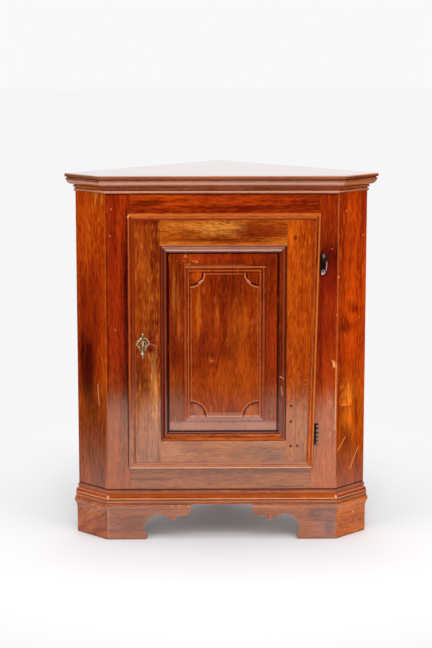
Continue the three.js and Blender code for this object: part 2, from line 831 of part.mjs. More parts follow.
function lockCase() {
  const front = doorBack + seam;
  const levels = [lockMiddle - lockHeight / 2, lockMiddle + lockHeight / 2];
  const slot = block(
    [lockFrom - overrun, lockFrom + boltLength + seam],
    [boltSetback - seam, boltSetback + boltThickness + seam],
    [boltSpan[0] - seam, boltSpan[1] + seam],
  );
  return block([lockFrom, lockFrom + lockWidth], [front, front + lockDepth], levels)
    .subtract(slot)
    .subtract(keyhole(front - overrun, boltSetback - seam));
}

function lockBolt() {
  return block([lockFrom, lockFrom + boltLength], [boltSetback, boltSetback + boltThickness], boltSpan);
}

function platePoint([x, y, bulge]) {
  return [keyholeX - plateShift + x * plateHalfWidth, keyholeLevel + y * plateHeight, bulge];
}

function ovalHole({ at, reach }) {
  const steps = turnedSegments / 2;
  return Array.from({ length: steps }, (_, index) => {
    const angle = (2 * Math.PI * index) / steps;
    const place = [at[0] + reach[0] * Math.cos(angle), at[1] + reach[1] * Math.sin(angle)];
    return new THREE.Vector2(...platePoint(place));
  });
}

// Pierced and scrolled keyhole plate
function keyholePlate() {
  const half = outline(plateShares.map(platePoint));
  const middle = half[0].x;
  const otherHalf = half.slice(1, -1).reverse().map(({ x, y }) => new THREE.Vector2(2 * middle - x, y));
  const back = doorFace - seam;
  return facing([...half, ...otherHalf], back - plateThickness, back, plateHoleShares.map(ovalHole))
    .subtract(keyhole(back - plateThickness - overrun, back + overrun));
}

// The door swings as one group
const door = new THREE.Group();
const lockStile = doorStile('left').subtract(keyhole(doorFace - overrun, doorBack + overrun));
door.add(piece('door_left_stile', lockStile, walnut));
door.add(piece('door_right_stile', doorStile('right'), walnut));
door.add(piece('door_top_rail', doorRail('top'), walnut));
door.add(piece('door_bottom_rail', doorRail('bottom'), walnut));
door.add(piece('door_panel', doorPanel(), darkWalnut));
addDoorMouldings(door);
door.add(piece('keyhole_plate', keyholePlate(), brass));
door.add(piece('lock_case', lockCase(), iron));
door.add(piece('lock_bolt', lockBolt(), iron));

const [upperFixed, upperMoving] = addHinge('upper', hingeLevels.upper, upperLeafSpan, brass);
const [lowerFixed, lowerMoving] = addHinge('lower', hingeLevels.lower, lowerLeafSpan, iron);
door.add(upperMoving, lowerMoving);

// The carcase, side by side
const carcase = new THREE.Group();
carcase.add(upperFixed, lowerFixed);
carcase.add(piece('left_front_stile', faceStile('left'), walnut));
const rightStile = faceStile('right')
  .subtract(leafHousing(upperLeafSpan, hingeLevels.upper))
  .subtract(leafHousing(lowerLeafSpan, hingeLevels.lower));
carcase.add(piece('right_front_stile', rightStile, walnut));
carcase.add(piece('top_front_rail', faceRail(topRail), walnut));
carcase.add(piece('bottom_front_rail', faceRail(bottomRail), walnut));

const groups = Object.fromEntries(Object.keys(sides).map((name) => [name, sideGroup(name)]));
Object.values(groups).forEach((group) => carcase.add(group));

groups.rightCant.add(piece('right_cant_board', cantBoard((along) => along), walnut));
groups.leftCant.add(piece('left_cant_board', cantBoard((along) => cantLength - along), walnut));

const rebateEnd = boardThickness - backRebate + seam / 2;
backWall(groups.rightWall, 'right', rebateEnd, wallLength);
backWall(groups.leftWall, 'left', backThickness + seam / 2, wallLength - rebateEnd);
groups.rightWall.add(piece('rear_post', rearPost(), insideWood));

const mouldings = [
  ['cornice', wrapMoulding(corniceShares, corniceProjection, corniceHeight, carcaseTop - corniceHeight)],
  ['base_moulding', wrapMoulding(baseMouldingShares, baseMouldingProjection, baseMouldingHeight, footHeight)],
];
mouldings.forEach(([name, shapes]) => {
  groups.front.add(piece(`${name}_front`, shapes.front, walnut));
  groups.rightCant.add(piece(`${name}_right`, shapes.rightCant, walnut));
  groups.leftCant.add(piece(`${name}_left`, shapes.leftCant, walnut));
});

groups.front.add(piece('front_left_bracket', frontBracket(0, false), walnut));
groups.front.add(piece('front_right_bracket', frontBracket(2 * frontHalfWidth, true), walnut));
const rightSideBracket = solid(run(bracketSection, cantLength, mitre, 0));
const leftSideBracket = solid(run(bracketSection, cantLength, 0, mitre));
groups.rightCant.add(piece('right_side_bracket', rightSideBracket, walnut));
groups.leftCant.add(piece('left_side_bracket', leftSideBracket, walnut));
carcase.add(piece('left_corner_block', cornerBlock(-1), insideWood));
carcase.add(piece('right_corner_block', cornerBlock(1), insideWood));

carcase.add(piece('top_board_front', topFront(), walnut));
carcase.add(piece('top_board_back', topBack(), walnut));
const bottomBoardLow = bottomBoardTop - insideBoardThickness;
const shelfLow = shelfTop - insideBoardThickness;
const bottomBoard = insideBoard(boardThickness + seam, bottomBoardLow, bottomBoardTop);
carcase.add(piece('bottom_board', bottomBoard, insideWood));
carcase.add(piece('shelf', insideBoard(shelfSetback, shelfLow, shelfTop), insideWood));
[['bottom', bottomBoardLow], ['shelf', shelfLow]].forEach(([name, top]) => {
  const right = wallBearer((along) => along, top);
  const left = wallBearer((along) => wallLength - along, top);
  groups.rightWall.add(piece(`${name}_bearer_right`, right, insideWood));
  groups.leftWall.add(piece(`${name}_bearer_left`, left, insideWood));
});
const frontBearerEnd = frontHalfWidth - frontBearerInset;
const frontBearer = block(
  [-frontBearerEnd, frontBearerEnd],
  [boardThickness, boardThickness + bearerDepth],
  [bottomBoardLow - bearerHeight, bottomBoardLow],
);
carcase.add(piece('bottom_bearer_front', frontBearer, insideWood));

// The whole stands with its origin under the middle of its box
const group = new THREE.Group();
group.position.y = (topOverhang - apexDepth) / 2;
group.add(carcase, door);

export default group;
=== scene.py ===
import json
import math

import bmesh
import bpy
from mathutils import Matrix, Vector
from mathutils.bvhtree import BVHTree

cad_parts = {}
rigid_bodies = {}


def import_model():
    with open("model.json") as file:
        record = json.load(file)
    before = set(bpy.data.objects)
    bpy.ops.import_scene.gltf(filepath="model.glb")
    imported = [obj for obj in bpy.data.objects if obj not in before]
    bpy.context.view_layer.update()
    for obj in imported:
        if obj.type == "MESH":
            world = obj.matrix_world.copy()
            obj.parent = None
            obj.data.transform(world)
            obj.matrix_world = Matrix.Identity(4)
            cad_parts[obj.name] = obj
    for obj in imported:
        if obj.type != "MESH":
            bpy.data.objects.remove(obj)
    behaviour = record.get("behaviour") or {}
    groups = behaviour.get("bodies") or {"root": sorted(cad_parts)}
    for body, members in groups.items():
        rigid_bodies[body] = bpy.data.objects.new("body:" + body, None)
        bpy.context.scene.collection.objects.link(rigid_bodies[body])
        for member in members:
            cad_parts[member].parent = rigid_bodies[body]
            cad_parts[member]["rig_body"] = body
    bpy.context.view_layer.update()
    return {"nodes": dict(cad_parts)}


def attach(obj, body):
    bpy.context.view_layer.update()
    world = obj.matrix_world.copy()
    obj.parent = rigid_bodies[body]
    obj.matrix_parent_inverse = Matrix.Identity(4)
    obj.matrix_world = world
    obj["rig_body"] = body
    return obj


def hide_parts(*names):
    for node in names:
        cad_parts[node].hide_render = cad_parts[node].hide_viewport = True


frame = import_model()
nodes = frame["nodes"]

# The scene is in metres. Places and sizes on the cupboard are written in millimetres and taken times MM.
MM = 0.001

# Camera, as fitted to the photograph
CAMERA_PLACE = Vector((-0.0913, -5.38925, 1.5556))
CAMERA_YAW = math.radians(0.822)
CAMERA_PITCH = math.radians(9.98)
CAMERA_LENS = 99.47
CAMERA_SENSOR = 36.0

# Studio: a sheet of white paper under the cupboard in a dark room
FLOOR_REACH = 30.0
PAPER = (0.9, 0.9, 0.91, 1)
PAPER_MIRRORED = (0.9, 0.86, 0.79, 1)
PAPER_FAR_OFF = (0.925, 0.925, 0.94, 1)
PAPER_EVEN_FROM = 0.62
PAPER_EVEN_TO = 1.5
PAPER_FRONT = -1.82
PAPER_FADED_FRONT = -2.45
PAPER_SIDE = 0.3
PAPER_FADED_LEFT = 2.0
PAPER_FADED_RIGHT = 1.5
ROOM_DARK = (0.01, 0.01, 0.01, 1)
ROOM_HALF_WIDTH = 5.0
ROOM_FRONT = -8.0
ROOM_HEIGHT = 5.0
ROOM_BACK = 2.0
WORLD_COLOUR = (0.985, 0.985, 1.0, 1)
WORLD_LIGHT = 0.62
WORLD_SEEN = 0.96
NO_LIGHT = (0, 0, 0, 1)
# Lamps: place, what they look at, width, height, watts
LAMPS = {
    "key_light": ((2.6, -3.2, 2.8), (0, 0, 0.55), 1.6, 1.6, 26),
    "fill_light": ((-2.8, -3.0, 2.4), (0, 0, 0.55), 1.6, 1.6, 22),
    "top_light": ((0, -0.4, 3.6), (0, 0, 0.5), 2.4, 2.4, 42),
    "front_light": ((0, -2.5, 3.3), (0, 0, 0.3), 0.6, 0.6, 20),
    "low_light": ((0, -4.0, 1.2), (0, 0, 0.1), 3.0, 0.6, 26),
    "back_light": ((0, 2.2, 0.5), (0, 0, 0), 1.5, 0.3, 10),
}

# Mesh work
WELD = 0.02 * MM
FLAT = math.radians(0.5)
ARRIS_FROM = math.radians(28)
SMOOTH_BELOW = math.radians(31)
LOOKS_INWARDS = 0.3
TOUCHING = 1.0 * MM
JOINT_BEVEL = 0.25 * MM
CORNER_BEVEL = 0.5 * MM
METAL_ARRIS = 0.3 * MM
NOTCH_MADE = 40 * MM
NOTCH_FOUND = 0.3 * MM
STACK_STEP = Vector((1.37, 0.83, 0.59))

# Directions of the grain
UP = Vector((0, 0, 1))
SIDE = Vector((1, 0, 0))
BACK = Vector((0, 1, 0))
RIGHT_CANT = Vector((1, 1, 0)).normalized()
LEFT_CANT = Vector((1, -1, 0)).normalized()
RIGHT_WALL = Vector((-1, 1, 0)).normalized()
LEFT_WALL = Vector((-1, -1, 0)).normalized()
DOWN_THE_CANT = (LEFT_CANT + UP * 0.5).normalized()

# Fineness of the patterns, in waves per metre along, across and through the plank
WANDER_WAVES = (2.2, 5, 5)
BAND_WAVES = (1.1, 21, 21)
STREAK_WAVES = (4, 130, 130)
CLOUD_WAVES = (5, 11, 11)
MOTTLE_WAVES = (34, 290, 290)
PORE_WAVES = (40, 800, 800)
STAIN_WAVES = (14, 75, 75)
RING_WAVES = (12, 40, 40)
BREAK_WAVES = (190, 190, 190)
CRACK_WAVES = (60, 60, 60)
COARSE_WEAR_WAVES = (23, 23, 23)
FINE_WEAR_WAVES = (170, 170, 170)
METAL_CLOUD_WAVES = (150, 150, 150)
METAL_PIT_WAVES = (900, 900, 900)
METAL_GRAIN = 7.0

# Looks of the wood and the metal. A patch is THROUGH metres deep, so that it reaches through an upright
# face. A line is at its fullest up to FULL_TO of its width.
THROUGH = 10.0
WITHOUT_DEPTH = (1, 0, 1)
FULL_TO = 0.35
BREAK_SOFTNESS = 0.16
GRAIN_WANDER = 0.06
FIGURE_IN_PATCHES = 0.75
DARKEST_FIGURE = 0.2
COARSE_WEAR = 0.65
FINE_WEAR = 0.35
PORE_COLOUR = (0.3, 0.12, 0.08, 1)
WALNUT_DIRT = (40, 8, 3)
VARNISH_IOR = 1.72
VARNISH_ROUGHNESS = 0.05
WOOD_GLOSS = 0.2
DIRT_ROUGHENS = 0.3
DIRT_DULLS = 0.8
PLAIN_WOOD_DIRT = (48, 30, 18)
PLAIN_WOOD_WORN = (186, 150, 108)
PLAIN_WOOD_SPECKS = (60, 36, 20)
PLAIN_WOOD_GLOSS = 0.3
METAL_SHARE = 0.3

# Half the length of the longest moulding in millimetres
MOULDING_REACH = 460

# Colours, as they look on a screen
WORN_EDGE = (224, 138, 66)
PALE_EDGE = (232, 176, 140)
BLACK_RED = (72, 8, 2)
DEEP_RED = (104, 18, 3)
OLD_BLACK = (46, 10, 4)
TAN = (206, 148, 88)
RED_ORANGE = (178, 54, 6)
GOLD = (222, 142, 48)
GREY_BROWN = (104, 62, 36)
BARE_WOOD = (226, 170, 110)
# Painted shadow in the gaps between the panel and its mouldings
GAP_SHADOW = (44, 4, 0)
# Painted highlight and painted shade along the steps of the panel's field
PANEL_STEP_HIGHLIGHT = (186, 92, 40)
PANEL_STEP_SHADE = (84, 16, 3)


def shade(colour):
    """A colour written as it looks on a screen, 0 to 255, as the shader wants it."""
    def linear(value):
        share = value / 255
        return share / 12.92 if share <= 0.04045 else ((share + 0.055) / 1.055) ** 2.4

    return (*[linear(value) for value in colour], 1.0)


# Node helpers

def add_node(tree, kind, **settings):
    node = tree.nodes.new(kind)
    for name, value in settings.items():
        setattr(node, name, value)
    return node


def feed(tree, source, target):
    """Links an output to an input, or writes a plain value into it."""
    if isinstance(source, bpy.types.NodeSocket):
        tree.links.new(source, target)
    else:
        target.default_value = source


def number(tree, operation, first, second=0.0, clamp=False):
    node = add_node(tree, "ShaderNodeMath", operation=operation, use_clamp=clamp)
    feed(tree, first, node.inputs[0])
    feed(tree, second, node.inputs[1])
    return node.outputs[0]


def plus(tree, first, second, clamp=False):
    return number(tree, "ADD", first, second, clamp)


def minus(tree, first, second, clamp=False):
    return number(tree, "SUBTRACT", first, second, clamp)


def times(tree, first, second):
    return number(tree, "MULTIPLY", first, second)


def larger(tree, first, second):
    return number(tree, "MAXIMUM", first, second)


def vector(tree, operation, first, second=(0, 0, 0)):
    node = add_node(tree, "ShaderNodeVectorMath", operation=operation)
    feed(tree, first, node.inputs[0])
    feed(tree, second, node.inputs[1])
    return node.outputs["Value" if operation in ("LENGTH", "DOT_PRODUCT") else "Vector"]


def stretched(tree, source, shares):
    return vector(tree, "MULTIPLY", source, shares)


def between(tree, start, end):
    return vector(tree, "SUBTRACT", end, start)


def scaled(tree, source, share):
    node = add_node(tree, "ShaderNodeVectorMath", operation="SCALE")
    feed(tree, source, node.inputs[0])
    feed(tree, share, node.inputs["Scale"])
    return node.outputs["Vector"]


def noise(tree, place, waves, detail=2.0, roughness=0.5, distortion=0.0):
    node = add_node(tree, "ShaderNodeTexNoise")
    looks = {"Scale": 1.0, "Detail": detail, "Roughness": roughness, "Distortion": distortion}
    for name, value in looks.items():
        node.inputs[name].default_value = value
    feed(tree, stretched(tree, place, waves), node.inputs["Vector"])
    return node.outputs["Fac"]


def cells(tree, place, waves, feature="F1"):
    node = add_node(tree, "ShaderNodeTexVoronoi", feature=feature)
    node.inputs["Scale"].default_value = 1.0
    feed(tree, stretched(tree, place, waves), node.inputs["Vector"])
    return node.outputs


def split(tree, source, kind="XYZ"):
    node = add_node(tree, f"ShaderNodeSeparate{kind}")
    feed(tree, source, node.inputs[0])
    return node.outputs


def ease(tree, value, low, high, to_low=0.0, to_high=1.0):
    node = add_node(tree, "ShaderNodeMapRange", interpolation_type="SMOOTHSTEP")
    feed(tree, value, node.inputs["Value"])
    for name, limit in zip(("From Min", "From Max", "To Min", "To Max"), (low, high, to_low, to_high)):
        feed(tree, limit, node.inputs[name])
    return node.outputs["Result"]


def mix(tree, factor, first, second, blend="MIX"):
    node = add_node(tree, "ShaderNodeMix", data_type="RGBA", blend_type=blend)
    feed(tree, factor, node.inputs["Factor"])
    feed(tree, first, node.inputs["A"])
    feed(tree, second, node.inputs["B"])
    return node.outputs["Result"]


def new_group(name, inputs, outputs=("Mask",)):
    """A node group. An input's kind follows from its value, and None stands for a place."""
    tree = bpy.data.node_groups.new(name, "ShaderNodeTree")
    for label, value in inputs.items():
        kind = "Float" if isinstance(value, float) else "Vector"
        if kind == "Vector" and value and len(value) == 4:
            kind = "Color"
        socket = tree.interface.new_socket(label, in_out="INPUT", socket_type=f"NodeSocket{kind}")
        if value is not None:
            socket.default_value = value
    for label in outputs:
        kind = "Color" if label == "Color" else "Float"
        tree.interface.new_socket(label, in_out="OUTPUT", socket_type=f"NodeSocket{kind}")
    return tree, add_node(tree, "NodeGroupInput").outputs, add_node(tree, "NodeGroupOutput").inputs


def place_group(tree, group, **values):
    node = add_node(tree, "ShaderNodeGroup", node_tree=group)
    for name, value in values.items():
        feed(tree, value, node.inputs[name])
    return node.outputs


def attribute(tree, name, output="Fac"):
    return add_node(tree, "ShaderNodeAttribute", attribute_name=name).outputs[output]


def object_place(tree):
    return add_node(tree, "ShaderNodeTexCoord").outputs["Object"]


# Effects shared by the woods. Grain is the place along, across and through the plank in metres.

def figure_group():
    """Broad bands, streaks, clouds and pores of a plank."""
    tree, given, result = new_group(
        "wood_figure",
        {"Grain": None, "Light": (0.5, 0.2, 0.05, 1), "Dark": (0.1, 0.02, 0.01, 1), "Bands": 0.5,
         "Streaks": 0.4, "Clouds": 0.3, "Mottle": 0.3, "Pores": 0.4},
        ("Color", "Height", "Streak"),
    )
    grain = given["Grain"]
    wander = times(tree, minus(tree, noise(tree, grain, WANDER_WAVES, 2), 0.5), GRAIN_WANDER)
    spread = add_node(tree, "ShaderNodeCombineXYZ")
    for axis in ("Y", "Z"):
        feed(tree, wander, spread.inputs[axis])
    bent = vector(tree, "ADD", grain, spread.outputs[0])
    streaks = ease(tree, noise(tree, bent, STREAK_WAVES, 4, 0.62), 0.3, 0.7)
    parts = {
        "Bands": ease(tree, noise(tree, bent, BAND_WAVES, 2, 0.5, 0.3), 0.34, 0.66),
        "Streaks": streaks,
        "Clouds": ease(tree, noise(tree, grain, CLOUD_WAVES, 4, 0.6, 0.5), 0.32, 0.68),
        "Mottle": ease(tree, noise(tree, bent, MOTTLE_WAVES, 3, 0.6), 0.36, 0.64),
    }
    tone = 0.5
    for name, value in parts.items():
        tone = plus(tree, tone, times(tree, minus(tree, value, 0.5), given[name]))
    plank = mix(tree, plus(tree, tone, 0.0, clamp=True), given["Dark"], given["Light"])
    pore = times(tree, ease(tree, noise(tree, bent, PORE_WAVES, 2, 0.5), 0.54, 0.68), given["Pores"])
    feed(tree, mix(tree, pore, plank, PORE_COLOUR, "MULTIPLY"), result["Color"])
    feed(tree, minus(tree, times(tree, streaks, 0.5), pore), result["Height"])
    feed(tree, tone, result["Streak"])
    return tree


def ragged_reach(tree, given, waves, detail, roughness, strength):
    """How far a place lies from the centre, in half sizes, along a ragged outline."""
    away = vector(tree, "DIVIDE", between(tree, given["Centre"], given["Place"]), given["Half"])
    rough = noise(tree, given["Grain"], waves, detail, roughness)
    wander = times(tree, minus(tree, rough, 0.5), given["Ragged"])
    return plus(tree, vector(tree, "LENGTH", away), times(tree, wander, strength))


def stain_and_shading_group():
    """A patch with a ragged edge, drawn out along the grain."""
    tree, given, result = new_group(
        "wood_stain_and_shading",
        {"Place": None, "Grain": None, "Centre": (0, 0, 0), "Half": (1, 1, 1), "Ragged": 0.5, "Soft": 0.3},
    )
    edge = ragged_reach(tree, given, STAIN_WAVES, 4, 0.65, 3.0)
    inner, outer = minus(tree, 1.0, given["Soft"]), plus(tree, 1.0, given["Soft"])
    feed(tree, ease(tree, edge, inner, outer, 1.0, 0.0), result["Mask"])
    return tree


def eye_group():
    """Rings of growth round a knot, or the flame of a board cut across its heart."""
    tree, given, result = new_group(
        "wood_eye",
        {"Place": None, "Grain": None, "Centre": (0, 0, 0), "Half": (1, 1, 1), "Rings": 4.0, "Ragged": 0.3},
    )
    reach = ragged_reach(tree, given, RING_WAVES, 3, 0.6, 2.0)
    turns = times(tree, times(tree, reach, given["Rings"]), math.tau)
    rings = ease(tree, number(tree, "SINE", turns), -0.4, 0.9)
    feed(tree, times(tree, rings, ease(tree, reach, 0.55, 1.15, 1.0, 0.0)), result["Mask"])
    return tree


def line_mask(tree, gap, width):
    """Full where the gap to a line is small, and gone at its width."""
    return ease(tree, gap, times(tree, width, FULL_TO), width, 1.0, 0.0)


def scratch_and_shading_group():
    """A broken line from one place to another."""
    tree, given, result = new_group(
        "scratch_and_shading", {"Place": None, "From": (0, 0, 0), "To": (1, 0, 0), "Width": 0.001, "Broken": 0.5},
    )
    run = stretched(tree, between(tree, given["From"], given["To"]), WITHOUT_DEPTH)
    off = stretched(tree, between(tree, given["From"], given["Place"]), WITHOUT_DEPTH)
    share = number(tree, "DIVIDE", vector(tree, "DOT_PRODUCT", off, run),
                   vector(tree, "DOT_PRODUCT", run, run), clamp=True)
    gap = vector(tree, "LENGTH", between(tree, scaled(tree, run, share), off))
    holes = noise(tree, given["Place"], BREAK_WAVES, 3, 0.6)
    whole = ease(tree, holes, minus(tree, given["Broken"], BREAK_SOFTNESS), given["Broken"])
    feed(tree, times(tree, line_mask(tree, gap, given["Width"]), whole), result["Mask"])
    return tree


def arc_group():
    """A quarter of a circle."""
    tree, given, result = new_group(
        "quarter_circle",
        {"Place": None, "Centre": (0, 0, 0), "Towards": (1, 0, 1), "Radius": 0.04, "Width": 0.001},
    )
    away = stretched(tree, between(tree, given["Centre"], given["Place"]), WITHOUT_DEPTH)
    off = number(tree, "ABSOLUTE", minus(tree, vector(tree, "LENGTH", away), given["Radius"]))
    side = split(tree, stretched(tree, away, given["Towards"]))
    least = number(tree, "MINIMUM", side["X"], side["Z"])
    inside = ease(tree, least, -1 * MM, 1 * MM)
    feed(tree, times(tree, line_mask(tree, off, given["Width"]), inside), result["Mask"])
    return tree


def flecks_group():
    """Small scattered flecks, longer along the grain."""
    tree, given, result = new_group(
        "flecks", {"Grain": None, "Fineness": (110, 300, 300), "Share": 0.2, "Size": 0.35},
    )
    fleck = cells(tree, given["Grain"], given["Fineness"])
    chance = split(tree, fleck["Color"], "Color")
    chosen = number(tree, "LESS_THAN", chance[0], given["Share"])
    size = times(tree, given["Size"], plus(tree, chance[1], 0.5))
    dot = ease(tree, fleck["Distance"], times(tree, size, 0.5), size, 1.0, 0.0)
    feed(tree, times(tree, dot, chosen), result["Mask"])
    return tree


def crackle_group():
    """Fine cracks of old varnish, mostly across the grain."""
    tree, given, result = new_group(
        "crackle", {"Grain": None, "Fineness": (330, 150, 150), "Width": 0.09},
    )
    crack = cells(tree, given["Grain"], given["Fineness"], "DISTANCE_TO_EDGE")
    line = ease(tree, crack["Distance"], 0.0, given["Width"], 1.0, 0.0)
    whole = ease(tree, noise(tree, given["Grain"], CRACK_WAVES, 2), 0.42, 0.58)
    feed(tree, times(tree, line, whole), result["Mask"])
    return tree


def wear_group():
    """Varnish rubbed from the arrises, and dirt left in the inner corners."""
    tree, given, result = new_group(
        "edge_wear", {"Place": None, "Arris": 0.0, "Corner": 0.0, "Rubbed": 0.7, "Dirty": 0.8},
        ("Worn", "Dirt"),
    )
    coarse = noise(tree, given["Place"], COARSE_WEAR_WAVES, 3, 0.6)
    fine = noise(tree, given["Place"], FINE_WEAR_WAVES, 3, 0.6)
    both = plus(tree, times(tree, coarse, COARSE_WEAR), times(tree, fine, FINE_WEAR))
    amount = times(tree, ease(tree, both, 0.34, 0.62), given["Rubbed"])
    feed(tree, times(tree, given["Arris"], amount), result["Worn"])
    left = times(tree, ease(tree, both, 0.62, 0.3, 0.55, 1.0), given["Dirty"])
    feed(tree, times(tree, given["Corner"], left), result["Dirt"])
    return tree


FIGURE = figure_group()
STAIN_AND_SHADING = stain_and_shading_group()
EYE = eye_group()
SCRATCH_AND_SHADING = scratch_and_shading_group()
ARC = arc_group()
FLECKS = flecks_group()
CRACKLE = crackle_group()
EDGE_WEAR = wear_group()


# Marks that a board carries, one laid over the other. Places are millimetres to the right of the middle
# and above the floor, and sizes are millimetres too. Strength is how much of the colour shows, ragged and
# broken say how uneven the mark is, and dull is how much of the polish it takes off. The spot holds the
# place, the place along the grain, the tone of the figure there and how dull the board is so far.

# Besides real stains, scratches and wear, many marks are painted highlights, shadows and reflections that
# stand for the shading of the relief.
def upright_place(x, z):
    return (x * MM, 0.0, z * MM)


def mark(mask_at, colour, strength, dull=0.0, figured=False):
    """What lays a colour over the board where mask_at says."""
    def lay(tree, board, spot):
        mask = mask_at(tree, spot)
        if dull:
            spot["dull"] = larger(tree, spot["dull"], times(tree, mask, dull))
        shown = shade(colour)
        if figured:
            tone = plus(tree, times(tree, spot["tone"], FIGURE_IN_PATCHES), 1 - FIGURE_IN_PATCHES / 2)
            shown = mix(tree, 1.0, shown, larger(tree, tone, DARKEST_FIGURE), "MULTIPLY")
        return mix(tree, times(tree, mask, strength), board, shown)

    return lay


def patch(tree, group, spot, x, z, half_wide, half_high, **looks):
    return place_group(
        tree, group, Place=spot["place"], Grain=spot["grain"], Centre=upright_place(x, z),
        Half=(half_wide * MM, THROUGH, half_high * MM), **looks,
    )["Mask"]


def stain_and_shading(x, z, half_wide, half_high, colour, strength=0.5, ragged=0.6, soft=0.6, dull=0.0):
    """A patch in which the board's figure still shows. It draws real stains as well as painted highlights,
    shadows and reflections.
    """
    def mask_at(tree, spot):
        return patch(tree, STAIN_AND_SHADING, spot, x, z, half_wide, half_high, Ragged=ragged, Soft=soft)

    return mark(mask_at, colour, strength, dull, figured=True)


def eye(x, z, half_wide, half_high, colour, strength=0.7, rings=4.0, ragged=0.3):
    def mask_at(tree, spot):
        return patch(tree, EYE, spot, x, z, half_wide, half_high, Rings=rings, Ragged=ragged)

    return mark(mask_at, colour, strength)


def scratch_and_shading(from_x, from_z, to_x, to_z, width, colour, strength=0.9, broken=0.2, dull=0.0):
    """A line that covers its width to both sides. It draws real scratches and chips as well as painted
    highlight and shadow lines.
    """
    def mask_at(tree, spot):
        return place_group(
            tree, SCRATCH_AND_SHADING, Place=spot["place"], From=upright_place(from_x, from_z),
            To=upright_place(to_x, to_z), Width=width * MM, Broken=broken,
        )["Mask"]

    return mark(mask_at, colour, strength, dull)


def arc(x, z, to_x, to_z, radius, width, colour, strength=0.9):
    """A quarter circle about (x, z) that opens to the right for to_x = 1 and upwards for to_z = 1."""
    def mask_at(tree, spot):
        return place_group(
            tree, ARC, Place=spot["place"], Centre=upright_place(x, z), Towards=(to_x, 0, to_z),
            Radius=radius * MM, Width=width * MM,
        )["Mask"]

    return mark(mask_at, colour, strength)


def level_line(z, width, colour, strength=0.9, broken=0.2, dull=0.0):
    """A line all along a moulding at one height. Most of these lines are painted highlights and shadows of
    a moulding's profile.
    """
    return scratch_and_shading(-MOULDING_REACH, z, MOULDING_REACH, z, width, colour, strength, broken, dull)


def frame_lines(left, right, low, high, width, colour, strength=0.85, broken=0.36, notch=0.0):
    """A line round a rectangle, left out at its corners by the size of a notch. On the panel these are
    painted highlights and shadows along the steps of the field.
    """
    return [
        scratch_and_shading(*ends, width, colour, strength, broken)
        for ends in (
            (left, low + notch, left, high - notch), (right, low + notch, right, high - notch),
            (left + notch, low, right - notch, low), (left + notch, high, right - notch, high),
        )
    ]


def scattered(group, looks, colour, strength, within):
    """Flecks or cracks all over the board, or within (x, z, half_wide, half_high)."""
    def mask_at(tree, spot):
        mask = times(tree, place_group(tree, group, Grain=spot["grain"], **looks)["Mask"], strength)
        if within:
            mask = times(tree, mask, patch(tree, STAIN_AND_SHADING, spot, *within, Ragged=0.5, Soft=0.3))
        return mask

    return mark(mask_at, colour, 1.0)


def flecks(colour, share=0.2, size=0.35, fineness=(110, 300, 300), strength=0.8, within=None):
    return scattered(FLECKS, {"Fineness": fineness, "Share": share, "Size": size}, colour, strength, within)


def crackle(colour, fineness=(330, 150, 150), strength=0.5, within=None):
    return scattered(CRACKLE, {"Fineness": fineness}, colour, strength, within)


# Materials

def new_material(name):
    material = bpy.data.materials.new(name)
    material.use_nodes = True
    return material, material.node_tree, material.node_tree.nodes["Principled BSDF"]


def worn_edges(tree, place, rubbed, dirty):
    return place_group(
        tree, EDGE_WEAR, Place=place, Arris=attribute(tree, "arris"), Corner=attribute(tree, "corner"),
        Rubbed=rubbed, Dirty=dirty,
    )


def raise_surface(tree, shader, relief, strength, height_mm):
    bump = add_node(tree, "ShaderNodeBump")
    bump.inputs["Strength"].default_value = strength
    bump.inputs["Distance"].default_value = height_mm * MM
    feed(tree, relief, bump.inputs["Height"])
    feed(tree, bump.outputs["Normal"], shader.inputs["Normal"])


WALNUTS = {}
METALS = {}


def walnut(name, light, dark, marks=(), worn=WORN_EDGE, bands=0.5, streaks=0.42, clouds=0.3, mottle=0.6,
           pores=0.45, rubbed=0.75, dirty=0.85, polish=1.0):
    """Old polished walnut: figure, then the board's marks, which are real stains and wear as well as
    painted highlights and shadows, then dirty corners and worn arrises.
    """
    WALNUTS[name], tree, shader = new_material(f"walnut_{name}")
    place = object_place(tree)
    grain = attribute(tree, "grain", "Vector")
    figure = place_group(
        tree, FIGURE, Grain=grain, Light=shade(light), Dark=shade(dark), Bands=bands, Streaks=streaks,
        Clouds=clouds, Mottle=mottle, Pores=pores,
    )
    board = figure["Color"]
    spot = {"place": place, "grain": grain, "tone": figure["Streak"], "dull": 0.0}
    for lay in marks:
        board = lay(tree, board, spot)
    outside = attribute(tree, "outside")
    board = mix(tree, outside, figure["Color"], board)
    edges = worn_edges(tree, place, rubbed, dirty)
    board = mix(tree, edges["Dirt"], board, shade(WALNUT_DIRT))
    board = mix(tree, edges["Worn"], board, shade(worn))
    feed(tree, board, shader.inputs["Base Color"])
    rough = ease(tree, figure["Streak"], 0.2, 0.8, to_low=0.08, to_high=0.05)
    feed(tree, plus(tree, rough, times(tree, edges["Dirt"], DIRT_ROUGHENS)), shader.inputs["Roughness"])
    dull = times(tree, spot["dull"], outside)
    bright = minus(tree, 1.0, larger(tree, times(tree, edges["Dirt"], DIRT_DULLS), dull), clamp=True)
    feed(tree, times(tree, bright, polish), shader.inputs["Coat Weight"])
    shader.inputs["Coat IOR"].default_value = VARNISH_IOR
    shader.inputs["Coat Roughness"].default_value = VARNISH_ROUGHNESS
    shader.inputs["Specular IOR Level"].default_value = WOOD_GLOSS * polish
    raise_surface(tree, shader, figure["Height"], strength=0.2, height_mm=0.25)


